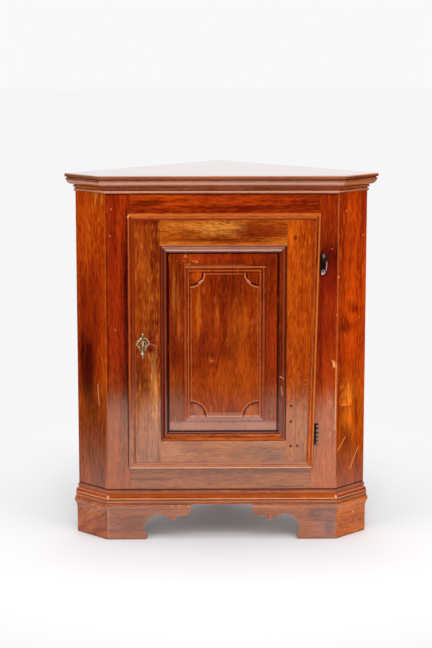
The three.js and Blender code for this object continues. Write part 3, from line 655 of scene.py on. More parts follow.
def plain_wood(name, light, dark):
    """Unpolished wood of the inside and the back."""
    WALNUTS[name], tree, shader = new_material(f"{name}_wood")
    place = object_place(tree)
    grain = attribute(tree, "grain", "Vector")
    figure = place_group(tree, FIGURE, Grain=grain, Light=shade(light), Dark=shade(dark), Bands=0.5,
                         Streaks=0.45, Clouds=0.4, Pores=0.6)
    specks = place_group(tree, FLECKS, Grain=grain, Fineness=(50, 160, 160), Share=0.08, Size=0.3)
    board = mix(tree, times(tree, specks["Mask"], 0.5), figure["Color"], shade(PLAIN_WOOD_SPECKS))
    edges = worn_edges(tree, place, rubbed=0.4, dirty=0.6)
    board = mix(tree, edges["Dirt"], board, shade(PLAIN_WOOD_DIRT))
    board = mix(tree, edges["Worn"], board, shade(PLAIN_WOOD_WORN))
    feed(tree, board, shader.inputs["Base Color"])
    rough = ease(tree, figure["Streak"], 0.2, 0.8, to_low=0.78, to_high=0.6)
    feed(tree, rough, shader.inputs["Roughness"])
    shader.inputs["Specular IOR Level"].default_value = PLAIN_WOOD_GLOSS
    raise_surface(tree, shader, figure["Height"], strength=0.5, height_mm=0.4)


def metal(name, bright, dull, tarnish, smooth, rough, marks=()):
    """Cast metal, dull in the hollows and rubbed bright on the edges. The marks on the hinges and on the
    keyhole plate's relief are mostly painted highlights and shadows.
    """
    METALS[name], tree, shader = new_material(name)
    place = object_place(tree)
    cloud = noise(tree, place, METAL_CLOUD_WAVES, 4, 0.65)
    edges = worn_edges(tree, place, rubbed=0.9, dirty=0.9)
    skin = mix(tree, ease(tree, cloud, 0.36, 0.62), shade(dull), shade(tarnish))
    spot = {"place": place, "grain": scaled(tree, place, METAL_GRAIN), "tone": cloud, "dull": 0.0}
    for lay in marks:
        skin = lay(tree, skin, spot)
    skin = mix(tree, edges["Worn"], skin, shade(bright))
    skin = mix(tree, edges["Dirt"], skin, shade(tarnish))
    feed(tree, skin, shader.inputs["Base Color"])
    shader.inputs["Metallic"].default_value = METAL_SHARE
    feed(tree, ease(tree, cloud, 0.35, 0.65, smooth, rough), shader.inputs["Roughness"])
    pits = noise(tree, place, METAL_PIT_WAVES, 2, 0.5)
    raise_surface(tree, shader, pits, strength=0.3, height_mm=0.15)


# Notches of the panel's field: centre, which way they open, radius
NOTCHES = [
    (-91.7, 800.7, 1, -1, 40), (107.2, 800.7, -1, -1, 40),
    (-91.7, 372.8, 1, 1, 48), (107.2, 372.8, -1, 1, 48),
]

# Marks that several boards share: a painted shadow line under the cornice, a painted shadow line above the
# base, painted contact shade where the brackets stand on the floor, and the flecks of the brackets
# Painted shadow that the cornice's bead casts on the rails and stiles
CORNICE_SHADOW_LINE = level_line(1029, 3.0, OLD_BLACK, 0.75, dull=0.5)
# Painted shadow on the rail, stiles and cants just above the base moulding
BASE_SHADOW_LINE = level_line(151.2, 3.2, (40, 10, 4), 0.9, 0.15, dull=0.9)
# Painted contact shade along the brackets' foot at the floor
FLOOR_SHADE_LINE = level_line(1.5, 2.4, (70, 32, 20), 0.8)
BRACKET_FLECKS = flecks((70, 34, 18), 0.1, 0.3, (50, 170, 170), 0.6)

# Woods and metals: the light and the dark colour of the figure, or the bright, the dull and the tarnished
# one of the metal, then what differs from the usual, then the marks from the first laid to the last
walnut("left_stile", (164, 50, 7), (100, 18, 3), streaks=0.46, marks=[
    stain_and_shading(-316, 800, 9, 260, DEEP_RED, 0.5, 0.5, 0.5),
    stain_and_shading(-285, 960, 13, 90, RED_ORANGE),
    stain_and_shading(-316, 600, 14, 130, (150, 44, 7)),
    stain_and_shading(-282, 700, 16, 200, (120, 24, 5), 0.5, 0.5),
    # Dark band beside the door's lip: partly the stile's own darker colour, partly painted shadow of the
    # lip
    stain_and_shading(-278, 600, 8, 330, BLACK_RED, 0.75, 0.3, 0.5),
    stain_and_shading(-309, 270, 60, 205, (146, 70, 22), 0.8, 0.3, 0.4),
    # Painted shadow that the door's lip casts on the stile
    scratch_and_shading(-276, 500, -276, 222, 2.4, (50, 12, 5), 0.85, dull=0.8),
    CORNICE_SHADOW_LINE,
    BASE_SHADOW_LINE,
    scratch_and_shading(-321, 988, -320, 985, 1.8, PALE_EDGE, 0.6, 0.3),
    scratch_and_shading(-325, 910, -324, 907, 1.6, PALE_EDGE, 0.6, 0.3),
    scratch_and_shading(-313, 634, -312, 631, 1.6, PALE_EDGE, 0.6, 0.3),
])
walnut("right_stile", (172, 58, 7), (104, 20, 4), streaks=0.46, marks=[
    stain_and_shading(318, 815, 32, 84, (76, 8, 3), 0.92, 0.5, 0.4),
    stain_and_shading(296, 800, 9, 80, (96, 12, 3), 0.7, 0.4, 0.5),
    stain_and_shading(300, 950, 30, 60, (128, 34, 6), 0.5, 0.9, 0.7),
    stain_and_shading(312, 680, 40, 110, (122, 28, 5), 0.6),
    stain_and_shading(290, 560, 7, 240, DEEP_RED, 0.6, 0.4, 0.5),
    stain_and_shading(309, 260, 60, 190, (160, 80, 28), 0.75, 0.3, 0.4),
    scratch_and_shading(261.4, 216, 261.6, 160, 2.2, (236, 190, 150), 0.9, 0.44),
    scratch_and_shading(323.5, 325, 318, 312, 1.8, PALE_EDGE, 0.4, 0.44),
    scratch_and_shading(319, 871, 320, 868, 2.0, (206, 104, 66), 0.8),
    scratch_and_shading(301, 676, 302, 674, 2.2, OLD_BLACK, 0.8),
    scratch_and_shading(336, 676, 336, 673, 2.2, GOLD, 0.8),
    scratch_and_shading(331, 620, 331, 617, 2.2, BLACK_RED, 0.8),
    CORNICE_SHADOW_LINE,
    BASE_SHADOW_LINE,
    scratch_and_shading(323, 540, 333, 520, 2.6, TAN, 0.8, 0.4),
    stain_and_shading(329, 529, 4.5, 9, (226, 146, 72), 0.8, 1.2, 0.5),
    scratch_and_shading(316, 418, 321, 411, 2.8, (220, 122, 84), 0.5, 0.42),
    # Light lines down the corner arris: partly wear, partly painted highlight
    scratch_and_shading(337, 1040, 337, 150, 1.6, WORN_EDGE, 0.5, 0.5),
    scratch_and_shading(335.6, 530, 334.2, 330, 1.8, (232, 160, 112), 0.7, 0.38),
])
walnut("top_rail", (196, 72, 10), (124, 26, 4), bands=0.6, streaks=0.6, marks=[
    stain_and_shading(-222, 1003, 50, 9, BLACK_RED, 0.75, 0.7, 0.5),
    stain_and_shading(252, 1004, 34, 13, (62, 8, 5), 0.42, 1.1),
    stain_and_shading(40, 992, 160, 5, DEEP_RED, 0.5, 0.7, 0.5),
    CORNICE_SHADOW_LINE,
])
walnut("bottom_rail", (166, 92, 46), (122, 62, 30), bands=0.4, streaks=0.36, marks=[
    stain_and_shading(-205, 182, 60, 5, BLACK_RED, 0.5, 0.7, 0.5),
    stain_and_shading(120, 205, 120, 5, GREY_BROWN, 0.4, 0.9),
    stain_and_shading(225, 203, 42, 4, (100, 56, 36), 0.5, 0.9),
    stain_and_shading(190, 158, 60, 3, (70, 40, 30), 0.6, 0.7, 0.4),
    BASE_SHADOW_LINE,
    scratch_and_shading(-275, 187, -266, 182, 2.4, OLD_BLACK, 0.7, 0.3),
])
walnut("left_cant", (214, 90, 10), (146, 38, 3), bands=0.45, streaks=0.52, marks=[
    stain_and_shading(-380, 690, 60, 150, (138, 34, 5), 0.6, 0.5),
    stain_and_shading(-398, 560, 28, 230, DEEP_RED, 0.6),
    stain_and_shading(-398, 505, 22, 110, (66, 6, 2), 0.88, 0.5, 0.5),
    stain_and_shading(-375, 270, 70, 170, (112, 54, 18), 0.75, 0.4, 0.5),
    stain_and_shading(-367, 1014, 1.8, 24, GOLD, 0.8, 0.9, 0.8),
    stain_and_shading(-362, 1024, 1.6, 12, GOLD, 0.7, 0.9, 0.8),
    stain_and_shading(-347, 1016, 1.6, 18, GOLD, 0.7, 0.9, 0.8),
    flecks((226, 136, 40), 0.2, 0.4, (30, 200, 200), 0.5, within=(-372, 960, 34, 70)),
    scratch_and_shading(-366, 464, -362, 402, 1.8, TAN, 0.8, 0.44),
    # Light line down the corner arris: partly wear, partly painted highlight
    scratch_and_shading(-338.5, 1030, -338.5, 150, 1.8, (206, 112, 32), 0.5, 0.5),
    BASE_SHADOW_LINE,
])
walnut("right_cant", (220, 78, 5), (146, 36, 4), streaks=0.48, marks=[
    stain_and_shading(348, 760, 12, 280, DEEP_RED, 0.4, 0.5, 0.5),
    flecks((238, 100, 20), 0.25, 0.45, (20, 260, 260), 0.5, within=(378, 820, 60, 240)),
    stain_and_shading(386, 694, 8, 16, BLACK_RED, 0.45, 1.4, 0.7),
    stain_and_shading(362, 641, 9, 20, BLACK_RED, 0.45, 1.4, 0.7),
    stain_and_shading(378, 370, 60, 120, (186, 84, 12), 0.7),
    flecks((250, 128, 24), 0.5, 0.5, (40, 220, 220), 0.8, within=(362, 440, 15, 40)),
    stain_and_shading(375, 428, 13, 26, (255, 140, 36), 0.75, 1.3),
    stain_and_shading(366, 408, 12, 10, (255, 128, 24), 0.7, 1.4),
    stain_and_shading(374, 346, 14, 40, (226, 108, 18), 0.65, 1.2),
    scratch_and_shading(354, 402, 378, 398, 2.0, (255, 160, 84), 0.7, 0.42),
    scratch_and_shading(344, 470, 341, 190, 4.0, (110, 26, 4), 0.5, 0.3),
    stain_and_shading(404, 366, 8, 30, (130, 36, 4), 0.6, 1.2),
    stain_and_shading(372, 290, 15, 36, (84, 22, 6), 0.7, 1.3, 0.7),
    stain_and_shading(394, 683, 12, 9, (110, 24, 3), 0.7, 1.0),
    stain_and_shading(366, 634, 26, 14, (112, 26, 3), 0.65, 1.0),
    stain_and_shading(375, 195, 70, 90, (146, 68, 24), 0.75, 0.4, 0.5),
    *[scratch_and_shading(x, z, x, z - 3, 2.2, (228, 142, 92), 0.65) for x, z in ((362, 979), (417, 902), (409, 658))],
    scratch_and_shading(367, 302, 344, 267, 2.2, (228, 148, 84), 0.85, 0.4),
    scratch_and_shading(410, 262, 384, 202, 2.2, (228, 148, 84), 0.85, 0.4),
    # Light line down the corner arris: partly wear, partly painted highlight
    scratch_and_shading(338.5, 1030, 338.5, 150, 1.8, (214, 116, 54), 0.4, 0.5),
    scratch_and_shading(340, 790, 341, 784, 2.2, (250, 156, 90)),
    BASE_SHADOW_LINE,
])
walnut("door_left_stile", (166, 68, 12), (104, 30, 5), bands=0.35, clouds=0.6, mottle=0.5, marks=[
    stain_and_shading(-216, 690, 9, 210, (178, 84, 20), 0.4, 1.1, 0.7),
    stain_and_shading(-242, 470, 30, 66, (88, 34, 9), 0.75, 0.8, 0.5, dull=0.5),
    stain_and_shading(-198, 440, 11, 110, (206, 132, 66), 0.7, 1.1, 0.7),
    stain_and_shading(-211, 592, 14, 24, (112, 16, 8), 0.85, 0.8, 0.4),
    scratch_and_shading(-213, 600, -194, 604, 2.6, (150, 50, 34), 0.7, 0.44),
    scratch_and_shading(-214, 594, -190, 585, 3.4, (166, 82, 58), 0.7, 0.42),
    scratch_and_shading(-216, 583, -204, 572, 2.4, (62, 14, 6), 0.8, 0.42),
    stain_and_shading(-230, 300, 60, 140, (148, 86, 38), 0.7, 0.4, 0.5),
    stain_and_shading(-202, 275, 19, 70, (182, 112, 74), 0.75, 0.6, 0.5),
    stain_and_shading(-236, 300, 12, 70, (132, 80, 60)),
    stain_and_shading(-226, 953, 40, 13, (112, 26, 6), 0.75, 0.8),
    flecks((198, 106, 42), 0.32, 0.45, (34, 300, 300), 0.5),
    flecks((92, 20, 6), 0.3, 0.45, (29, 260, 260), 0.5),
    flecks((210, 132, 74), 0.34, 0.42, (34, 290, 290), 0.7, within=(-246, 900, 22, 66)),
    flecks((190, 106, 44), 0.26, 0.4, (36, 300, 300), 0.6, within=(-218, 760, 30, 120)),
    flecks((216, 144, 88), 0.42, 0.45, (34, 270, 270), 0.65, within=(-199, 440, 15, 96)),
    flecks((190, 100, 60), 0.2, 0.4, (50, 290, 290), 0.6, within=(-206, 590, 22, 40)),
    flecks(OLD_BLACK, 0.12, 0.3, (60, 190, 190), 0.7, within=(-230, 480, 60, 160)),
    crackle(OLD_BLACK, (150, 330, 330), 0.5, within=(-228, 840, 34, 22)),
])
walnut("door_top_rail", (208, 112, 30), (146, 58, 10), bands=0.4, streaks=0.4, clouds=0.6, marks=[
    stain_and_shading(-4, 932, 62, 20, (222, 142, 56), 0.6, 0.9),
    stain_and_shading(-120, 935, 50, 16, (206, 116, 40), 0.5, 0.9),
    stain_and_shading(130, 925, 80, 26, (118, 30, 5), 0.85, 0.8),
    stain_and_shading(20, 897, 190, 7, (104, 28, 5), 0.7, 0.9, 0.5),
    # Light line on the rail's lower arris: partly wear, partly painted highlight
    level_line(884, 2.0, (190, 104, 56), 0.6, 0.46),
    stain_and_shading(-150, 905, 50, 10, (150, 60, 10), 0.5, 0.8, 0.5),
    flecks(OLD_BLACK, 0.2, 0.32, (130, 300, 300), 0.8, within=(0, 935, 175, 34)),
    flecks((110, 44, 8), 0.4, 0.5, (70, 190, 190), 0.6, within=(10, 922, 175, 34)),
])
walnut("door_right_stile", (192, 82, 9), (146, 46, 5), bands=0.4, streaks=0.5, clouds=0.4, marks=[
    stain_and_shading(208, 930, 16, 44, (210, 98, 12), 0.6),
    stain_and_shading(232, 290, 60, 150, (152, 86, 38), 0.8, 0.4, 0.5),
    flecks((206, 132, 84), 0.3, 0.3, (330, 60, 60), 0.6, within=(232, 450, 34, 44)),
    stain_and_shading(211, 903, 4, 6, (96, 20, 4), 0.8, 0.9, 0.5),
    scratch_and_shading(201, 495, 201, 493, 2.6, BLACK_RED),
    scratch_and_shading(223, 517, 223, 515, 2.4, OLD_BLACK),
    stain_and_shading(249, 337, 8, 25, (104, 66, 50), 0.6, 0.5, 0.4),
    stain_and_shading(249, 337, 4, 16, (156, 100, 66), 0.6, 0.5, 0.4),
    flecks((120, 36, 4), 0.2, 0.4, (40, 260, 260), 0.6),
    flecks((214, 120, 40), 0.2, 0.4, (34, 300, 300), 0.5),
    crackle((96, 28, 6), (260, 110, 110), 0.85, within=(236, 426, 34, 70)),
    crackle((110, 34, 6), (260, 130, 130), 0.5, within=(236, 640, 40, 200)),
])
walnut("door_bottom_rail", (182, 104, 50), (136, 68, 28), bands=0.4, streaks=0.4, clouds=0.5, marks=[
    stain_and_shading(120, 262, 60, 22, (122, 78, 48), 0.5, 0.9, 0.7),
    stain_and_shading(170, 246, 40, 9, (100, 62, 42), 0.5, 0.9),
    stain_and_shading(-150, 265, 54, 28, (176, 108, 74)),
    flecks(GREY_BROWN, 0.1, 0.3, (60, 190, 190), 0.6),
])
walnut("lip_top", (200, 96, 24), (150, 56, 10), worn=(226, 138, 74), rubbed=0.5, marks=[
    # Painted highlight along the lip's top, painted shade on its inner slope, and a painted highlight at
    # its corner
    level_line(970.5, 2.2, (206, 108, 40), 0.6, 0.44),
    level_line(959.5, 5.0, (130, 44, 8), 0.85, 0.1, dull=0.9),
    scratch_and_shading(-268.5, 969, -271.5, 964, 2.2, (244, 206, 170)),
])
walnut("lip_left", (158, 60, 14), (108, 28, 6), worn=(160, 80, 40), rubbed=0.3, marks=[
    # Painted shade on the inner slope and in the quirk, painted highlights on the outer edge and at the
    # corner, and painted reflection of the floor low down
    scratch_and_shading(-256, 440, -256, 976, 8.0, (126, 46, 9), 0.8, 0.1, dull=0.9),
    scratch_and_shading(-270.2, 222, -270.2, 968, 2.4, (184, 90, 42), 0.75, 0.38),
    scratch_and_shading(-263.8, 230, -263.8, 962, 2.0, (90, 18, 2), 0.8, 0.38),
    scratch_and_shading(-270, 969, -272, 964, 2.2, (244, 206, 170)),
    stain_and_shading(-263, 290, 16, 150, (168, 100, 66), 0.8, 0.2),
    scratch_and_shading(-256, 230, -256, 420, 2.2, (124, 66, 44), 0.7, 0.3),
])
walnut("lip_right", (190, 86, 16), (140, 48, 8), worn=(214, 130, 66), rubbed=0.45, marks=[
    # Painted highlight on the outer edge and painted shade beside it
    scratch_and_shading(282.8, 970, 265.8, 222, 2.4, (206, 116, 48), 0.75, 0.42),
    scratch_and_shading(277.4, 957, 276.6, 920, 1.6, (96, 22, 4), 0.8, 0.42),
    scratch_and_shading(276.6, 920, 274.8, 826, 2.0, (44, 8, 2), 0.95, 0.36),
    scratch_and_shading(275, 833, 266.5, 460, 1.6, (110, 26, 4), 0.7, 0.44),
    scratch_and_shading(267, 957, 268, 953, 3.0, BLACK_RED),
])
walnut("lip_bottom", (176, 98, 42), (132, 62, 22), worn=(196, 128, 96), rubbed=0.2, dirty=0.4, marks=[
    # Painted highlight on the lower edge and painted reflection of the floor on the inner slope
    level_line(220.4, 1.7, (214, 166, 146), 0.8, 0.4),
    level_line(234.5, 5.5, (176, 122, 102), 0.85, 0.15),
])
walnut("panel", (161, 58, 6), (103, 24, 4), bands=0.3, streaks=0.24, clouds=0.5, mottle=0.5,
       worn=(196, 104, 54), rubbed=0.8, dirty=1.0, marks=[
    stain_and_shading(-3, 740, 36, 100, (104, 24, 5), 0.6, 1.2, 0.7),
    stain_and_shading(14, 620, 9, 70, (116, 30, 5), 0.5, 1.1),
    eye(2, 770, 22, 60, (74, 12, 3), 0.5, 2.2, 1.2),
    stain_and_shading(-68, 700, 6, 60, (198, 98, 18), 0.5, 1.3, 0.7),
    stain_and_shading(-14, 680, 6, 34, (190, 90, 20), 0.5, 1.4, 0.8),
    stain_and_shading(50, 620, 30, 90, (180, 82, 12), 0.4, 0.9, 0.7),
    stain_and_shading(-20, 560, 8, 60, (120, 30, 5), 0.6, 0.8, 0.5),
    stain_and_shading(50, 470, 60, 70, (176, 74, 10), 0.45, 0.6, 0.7),
    stain_and_shading(8, 428, 126, 82, (132, 54, 11), 0.6, 0.1, 0.4, dull=0.85),
    eye(-32, 560, 13, 11, (70, 14, 4), 0.85, 1.4, 1.3),
    eye(-30, 541, 9, 8, (200, 120, 66), 0.6, 1.2, 1.3),
    eye(88, 656, 7, 9, (200, 110, 60), 0.5, 1.4, 1.2),
    scratch_and_shading(12, 640, -22, 499, 5.0, (96, 20, 5), 0.55, 0.46),
    stain_and_shading(-134, 610, 22, 260, (126, 40, 7), 0.7, 0.3, 0.5),
    stain_and_shading(-141, 750, 5, 70, (190, 104, 30), 0.5, 1.4, 0.7),
    stain_and_shading(-127, 690, 4, 90, (178, 86, 22), 0.5, 1.4, 0.7),
    stain_and_shading(147, 600, 20, 260, (130, 38, 6), 0.7, 0.3, 0.5),
    stain_and_shading(-142, 610, 10, 70, BLACK_RED, 0.4, 0.8),
    stain_and_shading(-140, 450, 16, 60, (150, 66, 12), 0.6),
    stain_and_shading(147, 400, 22, 70, (124, 58, 20), 0.7, 0.2, dull=0.35),
    stain_and_shading(-134, 400, 22, 70, (126, 62, 20), 0.7, 0.2, dull=0.35),
    stain_and_shading(8, 845, 150, 9, (150, 42, 8), 0.7, 0.3, 0.4),
    # Painted reflection of the floor on the bottom margin
    scratch_and_shading(-170, 338, 178, 338, 26, (180, 128, 108), 0.55, 0.1),
    stain_and_shading(150, 842, 20, 22, (104, 28, 8), 0.6, 0.5, 0.5),
    # Painted highlights and shadows along the steps of the field
    *frame_lines(-112.4, 127.1, 353, 822.7, 2.0, PANEL_STEP_SHADE, 0.75),
    *frame_lines(-106.6, 121.3, 357.5, 817.5, 2.0, PANEL_STEP_HIGHLIGHT, 0.75, 0.49),
    *frame_lines(-102.2, 116.9, 361, 812.8, 1.9, PANEL_STEP_SHADE, 0.7),
    *frame_lines(-97.8, 111.1, 364.5, 807.2, 2.0, PANEL_STEP_HIGHLIGHT, 0.8, 0.47),
    *frame_lines(-93.6, 107.6, 369.2, 802.4, 1.9, PANEL_STEP_SHADE, 0.75),
    *frame_lines(-89.6, 104.4, 374.4, 798.2, 1.8, PANEL_STEP_HIGHLIGHT, 0.7, 0.5, notch=44),
    scratch_and_shading(-107, 817.8, 127, 817.8, 2.0, (206, 120, 60), 0.8, 0.46),
    # Painted reflection of the floor below the field, with painted shade and highlight on the step's edges
    *[scratch_and_shading(-90 - down, 374 - down, 105 + down, 374 - down, 6, (162, 114, 98), 0.8, 0.1)
      for down in (2, 8, 14, 20)],
    scratch_and_shading(-40, 381.5, 54, 381.5, 7.5, (166, 112, 90), 0.5, 0.1),
    scratch_and_shading(-92, 370.2, 107, 370.2, 1.6, (142, 98, 84), 0.6, 0.36),
    scratch_and_shading(-90, 375.4, 105, 375.4, 1.9, (204, 152, 132), 0.75, 0.3),
    stain_and_shading(-74, 790, 15, 14, (190, 76, 12), 0.6, 0.4, 0.5),
    stain_and_shading(88, 390, 18, 18, (168, 84, 36), 0.7, 0.4, 0.5),
    stain_and_shading(-72, 392, 18, 20, (150, 84, 58), 0.7, 0.9, 0.5),
    # Painted shade in the notches and painted highlights along their edges
    *[arc(x, z, to_x, to_z, radius - 4.4, 3.4, BLACK_RED, 0.85) for x, z, to_x, to_z, radius in NOTCHES],
    *[arc(x, z, to_x, to_z, radius + 1.2, 2.2, (206, 124, 84), 0.85 if to_z < 0 else 0.5)
      for x, z, to_x, to_z, radius in NOTCHES],
    scratch_and_shading(-68, 772, -57, 780, 1.8, (240, 170, 148), 0.85),
    scratch_and_shading(83, 772, 74, 781, 1.8, (240, 170, 148), 0.7),
    flecks((210, 122, 56), 0.6, 0.5, (190, 90, 90), 0.6, within=(-98, 838, 34, 14)),
    # Painted shadow in the gaps between the panel and its mouldings, with the polish taken off
    scratch_and_shading(-156, 866, -156, 326, 3.0, GAP_SHADOW, 0.95, 0.12, dull=1.0),
    scratch_and_shading(163.8, 866, 163.2, 326, 4.2, GAP_SHADOW, 0.95, 0.12, dull=1.0),
    scratch_and_shading(-156, 857.5, 164, 857.5, 3.0, GAP_SHADOW, 0.95, 0.12, dull=1.0),
    scratch_and_shading(-156, 327.6, 164, 327.6, 5.2, GAP_SHADOW, 1.0, 0.1, dull=1.0),
    flecks((84, 18, 4), 0.2, 0.4, (36, 250, 250), 0.5),
    flecks((192, 96, 30), 0.2, 0.4, (34, 300, 300), 0.4),
])
walnut("left_panel_moulding", (126, 44, 20), (78, 18, 6), worn=(150, 80, 50), rubbed=0.4, marks=[
    # Painted highlights and shadows of the moulding's profile, and painted shadow in the gap at the panel
    scratch_and_shading(-172, 880, -172, 302, 6.5, (104, 28, 10), 0.5, 0.1, dull=0.85),
    scratch_and_shading(-178.5, 880, -178.5, 302, 2.2, (74, 14, 3)),
    scratch_and_shading(-175.5, 880, -175.5, 302, 1.6, (132, 52, 26), 0.8, 0.4),
    scratch_and_shading(-165.5, 880, -165.5, 302, 2.6, (122, 66, 48), 0.85, 0.36),
    scratch_and_shading(-159.8, 880, -159.8, 302, 2.6, GAP_SHADOW, 0.95, 0.12, dull=0.9),
])
walnut("right_panel_moulding", (130, 46, 14), (84, 20, 6), worn=(150, 76, 40), rubbed=0.4, marks=[
    # Painted shadow and highlight of the moulding's profile
    scratch_and_shading(185.8, 880, 185.8, 302, 2.2, (96, 22, 3), 0.9, 0.3),
    scratch_and_shading(180, 880, 180, 302, 2.2, (162, 76, 38), 0.85, 0.4),
    scratch_and_shading(171, 492, 181, 487, 2.2, BARE_WOOD, 0.7, 0.35),
    scratch_and_shading(174, 462, 178, 436, 2.0, TAN, 0.7, 0.46),
])
# The pale pinkish colours of this downward-facing moulding are painted reflection of the floor, and its
# lines are painted highlights and shadows
walnut("top_panel_moulding", (176, 110, 86), (128, 70, 50), worn=(214, 164, 140), rubbed=0.6, dirty=0.4,
       marks=[
    level_line(879, 1.8, (112, 44, 18), 0.85, 0.3),
    level_line(870.2, 1.6, (122, 70, 54), 0.8, 0.36),
    level_line(866.6, 1.8, (226, 178, 156), 0.85, 0.36),
    level_line(860.8, 2.2, GAP_SHADOW, 0.95, 0.1),
])
walnut("low_panel_moulding", (206, 98, 26), (124, 44, 8), streaks=0.6, marks=[
    # Painted shadow at the panel's foot and painted shade lines of the profile
    level_line(322.8, 2.6, (60, 14, 0), 0.95, 0.12, dull=1.0),
    level_line(318.6, 1.6, (136, 40, 3), 0.8, 0.36),
    level_line(303, 3.0, (116, 50, 20), 0.85, 0.36),
])
walnut("cornice", (200, 108, 62), (128, 48, 18), worn=(232, 164, 128), rubbed=0.9, streaks=0.5,
       dirty=1.0, marks=[
    # Painted highlights and shadows of the cornice's profile: dark lines in its quirks and under its nose,
    # and pale lines where the cyma and the bead mirror the floor
    level_line(1073.8, 2.2, (84, 30, 14)),
    level_line(1069.2, 1.6, (110, 46, 26), 0.85, 0.3),
    level_line(1062.4, 5.4, (202, 142, 112), 0.8, 0.3),
    level_line(1053.0, 3.6, (96, 20, 8)),
    level_line(1047.8, 1.3, (160, 84, 64), 0.8, 0.3),
    level_line(1043.6, 3.0, (92, 20, 5)),
    level_line(1037.2, 3.4, (236, 156, 118), 0.95),
    level_line(1031.6, 2.2, (78, 22, 8), 0.85),
    stain_and_shading(-400, 1046, 58, 11, (112, 58, 32), 0.6, 0.4, 0.4),
    stain_and_shading(402, 1050, 66, 30, (186, 88, 26), 0.6, 0.3, 0.3),
    # Painted shadow lines of the profile on the right cant
    *[scratch_and_shading(330, z, 470, z, 1.8, (92, 32, 10), 0.8, 0.3) for z in (1073, 1052, 1043)],
    stain_and_shading(-392, 1045, 46, 5.5, (190, 92, 18), 0.8, 0.4, 0.4),
])
walnut("top", (176, 92, 46), (126, 54, 22), worn=(214, 146, 104), rubbed=0.5, marks=[
    flecks((90, 40, 20), 0.08, 0.3, (30, 90, 90), 0.5),
    # Painted highlight on the nose's upper edge and painted shade under it
    level_line(1084, 1.8, (206, 152, 122), 0.6, 0.36),
    level_line(1078, 4.0, (118, 58, 36), 0.85, 0.25),
    stain_and_shading(-405, 1080, 60, 9, (124, 80, 54), 0.6, 0.3, 0.4),
])
walnut("base_moulding", (200, 92, 26), (126, 44, 8), worn=(214, 142, 96), streaks=0.6, rubbed=0.4,
       dirty=0.25, marks=[
    # Painted highlights and shadows of the moulding's profile
    level_line(143.2, 1.6, (104, 28, 5), 0.6, 0.36),
    level_line(134.5, 6.0, (176, 78, 18), 0.7),
    level_line(125.8, 1.9, (214, 140, 98), 0.85, 0.38),
    level_line(121.6, 1.9, (40, 10, 3), dull=0.7),
    level_line(117.4, 2.0, (212, 124, 54), 0.85, 0.4),
    level_line(112.4, 1.9, (80, 28, 10), 0.85, 0.25, dull=0.5),
    stain_and_shading(-338, 129, 4, 5, (238, 176, 132), 0.8, 0.6, 0.5),
    stain_and_shading(338, 131, 3, 4, (238, 186, 150), 0.8, 0.6, 0.5),
])
# The greyish colours are partly painted reflection of the floor
walnut("left_bracket", (172, 98, 64), (124, 66, 42), streaks=0.36, mottle=0.4, marks=[
    scratch_and_shading(-151, 106, -147, 105, 2.0, BARE_WOOD, 0.7, 0.3),
    scratch_and_shading(-128, 106, -124, 106, 1.8, BARE_WOOD, 0.6, 0.3),
    scratch_and_shading(-100, 105, -97, 105, 2.0, BARE_WOOD, 0.7, 0.3),
    stain_and_shading(-250, 50, 50, 24, (104, 56, 34), 0.4),
    # Light line down the corner arris: partly wear, partly painted highlight
    scratch_and_shading(-337, 4, -337, 100, 1.5, (206, 136, 98), 0.6, 0.42),
    FLOOR_SHADE_LINE,
    BRACKET_FLECKS,
])
# The greyish colours are partly painted reflection of the floor
walnut("right_bracket", (180, 102, 60), (130, 66, 38), streaks=0.4, mottle=0.4, marks=[
    stain_and_shading(280, 78, 20, 20, (92, 62, 46), 0.75, 0.7, 0.5),
    stain_and_shading(316, 60, 42, 66, (134, 84, 74), 0.7, 0.5, 0.5),
    stain_and_shading(319, 38, 13, 24, (92, 64, 54), 0.6, 0.7, 0.5),
    FLOOR_SHADE_LINE,
    scratch_and_shading(138, 76, 138, 62, 2.0, OLD_BLACK, 0.95),
    scratch_and_shading(107, 72, 108, 69, 3.2, (40, 14, 8), 0.9, 0.1),
    BRACKET_FLECKS,
])
walnut("left_side_bracket", (184, 92, 40), (126, 52, 18), streaks=0.5, polish=0.55, marks=[
    stain_and_shading(-392, 74, 22, 9, (198, 108, 46), 0.5, 0.9),
    scratch_and_shading(-416, 82, -414, 81, 2.6, PALE_EDGE, 0.6, 0.3),
    scratch_and_shading(-367, 90, -365, 88, 2.6, PALE_EDGE, 0.6, 0.3),
    FLOOR_SHADE_LINE,
])
walnut("right_side_bracket", (212, 108, 34), (148, 60, 14), streaks=0.5, polish=0.4, marks=[
    scratch_and_shading(394, 70, 395, 68, 2.6, PALE_EDGE, 0.8),
    FLOOR_SHADE_LINE,
    scratch_and_shading(397, 45, 396, 42, 2.6, (60, 20, 10)),
])
walnut("peg", (104, 44, 16), (66, 22, 6), rubbed=0.0, dirty=0.0, polish=0.3)
plain_wood("inside", (162, 118, 74), (104, 68, 38))
plain_wood("back", (142, 108, 76), (88, 60, 40))
metal("plate_brass", (255, 236, 212), (222, 182, 132), (178, 136, 84), 0.25, 0.4, marks=[
    # Painted highlights on the cast relief
    stain_and_shading(-237.9, 608, 3.4, 3.6, (255, 240, 226), 0.95, 0.2, 0.4),
    stain_and_shading(-230.9, 594, 2.4, 6.5, (250, 226, 180), 0.9, 0.3, 0.4),
    stain_and_shading(-233.2, 564.5, 3.4, 4.2, (255, 236, 218), 0.95, 0.2, 0.4),
    stain_and_shading(-231, 620, 2.6, 3.6, (232, 190, 168), 0.8, 0.2, 0.4),
    stain_and_shading(-244.8, 600, 3.0, 3.6, (250, 216, 180), 0.9, 0.3, 0.4),
    stain_and_shading(-217, 590, 5.0, 12, (206, 160, 128), 0.8, 0.4, 0.5),
    stain_and_shading(-232, 583, 7.0, 4.0, (150, 110, 60), 0.6, 0.6, 0.5),
])
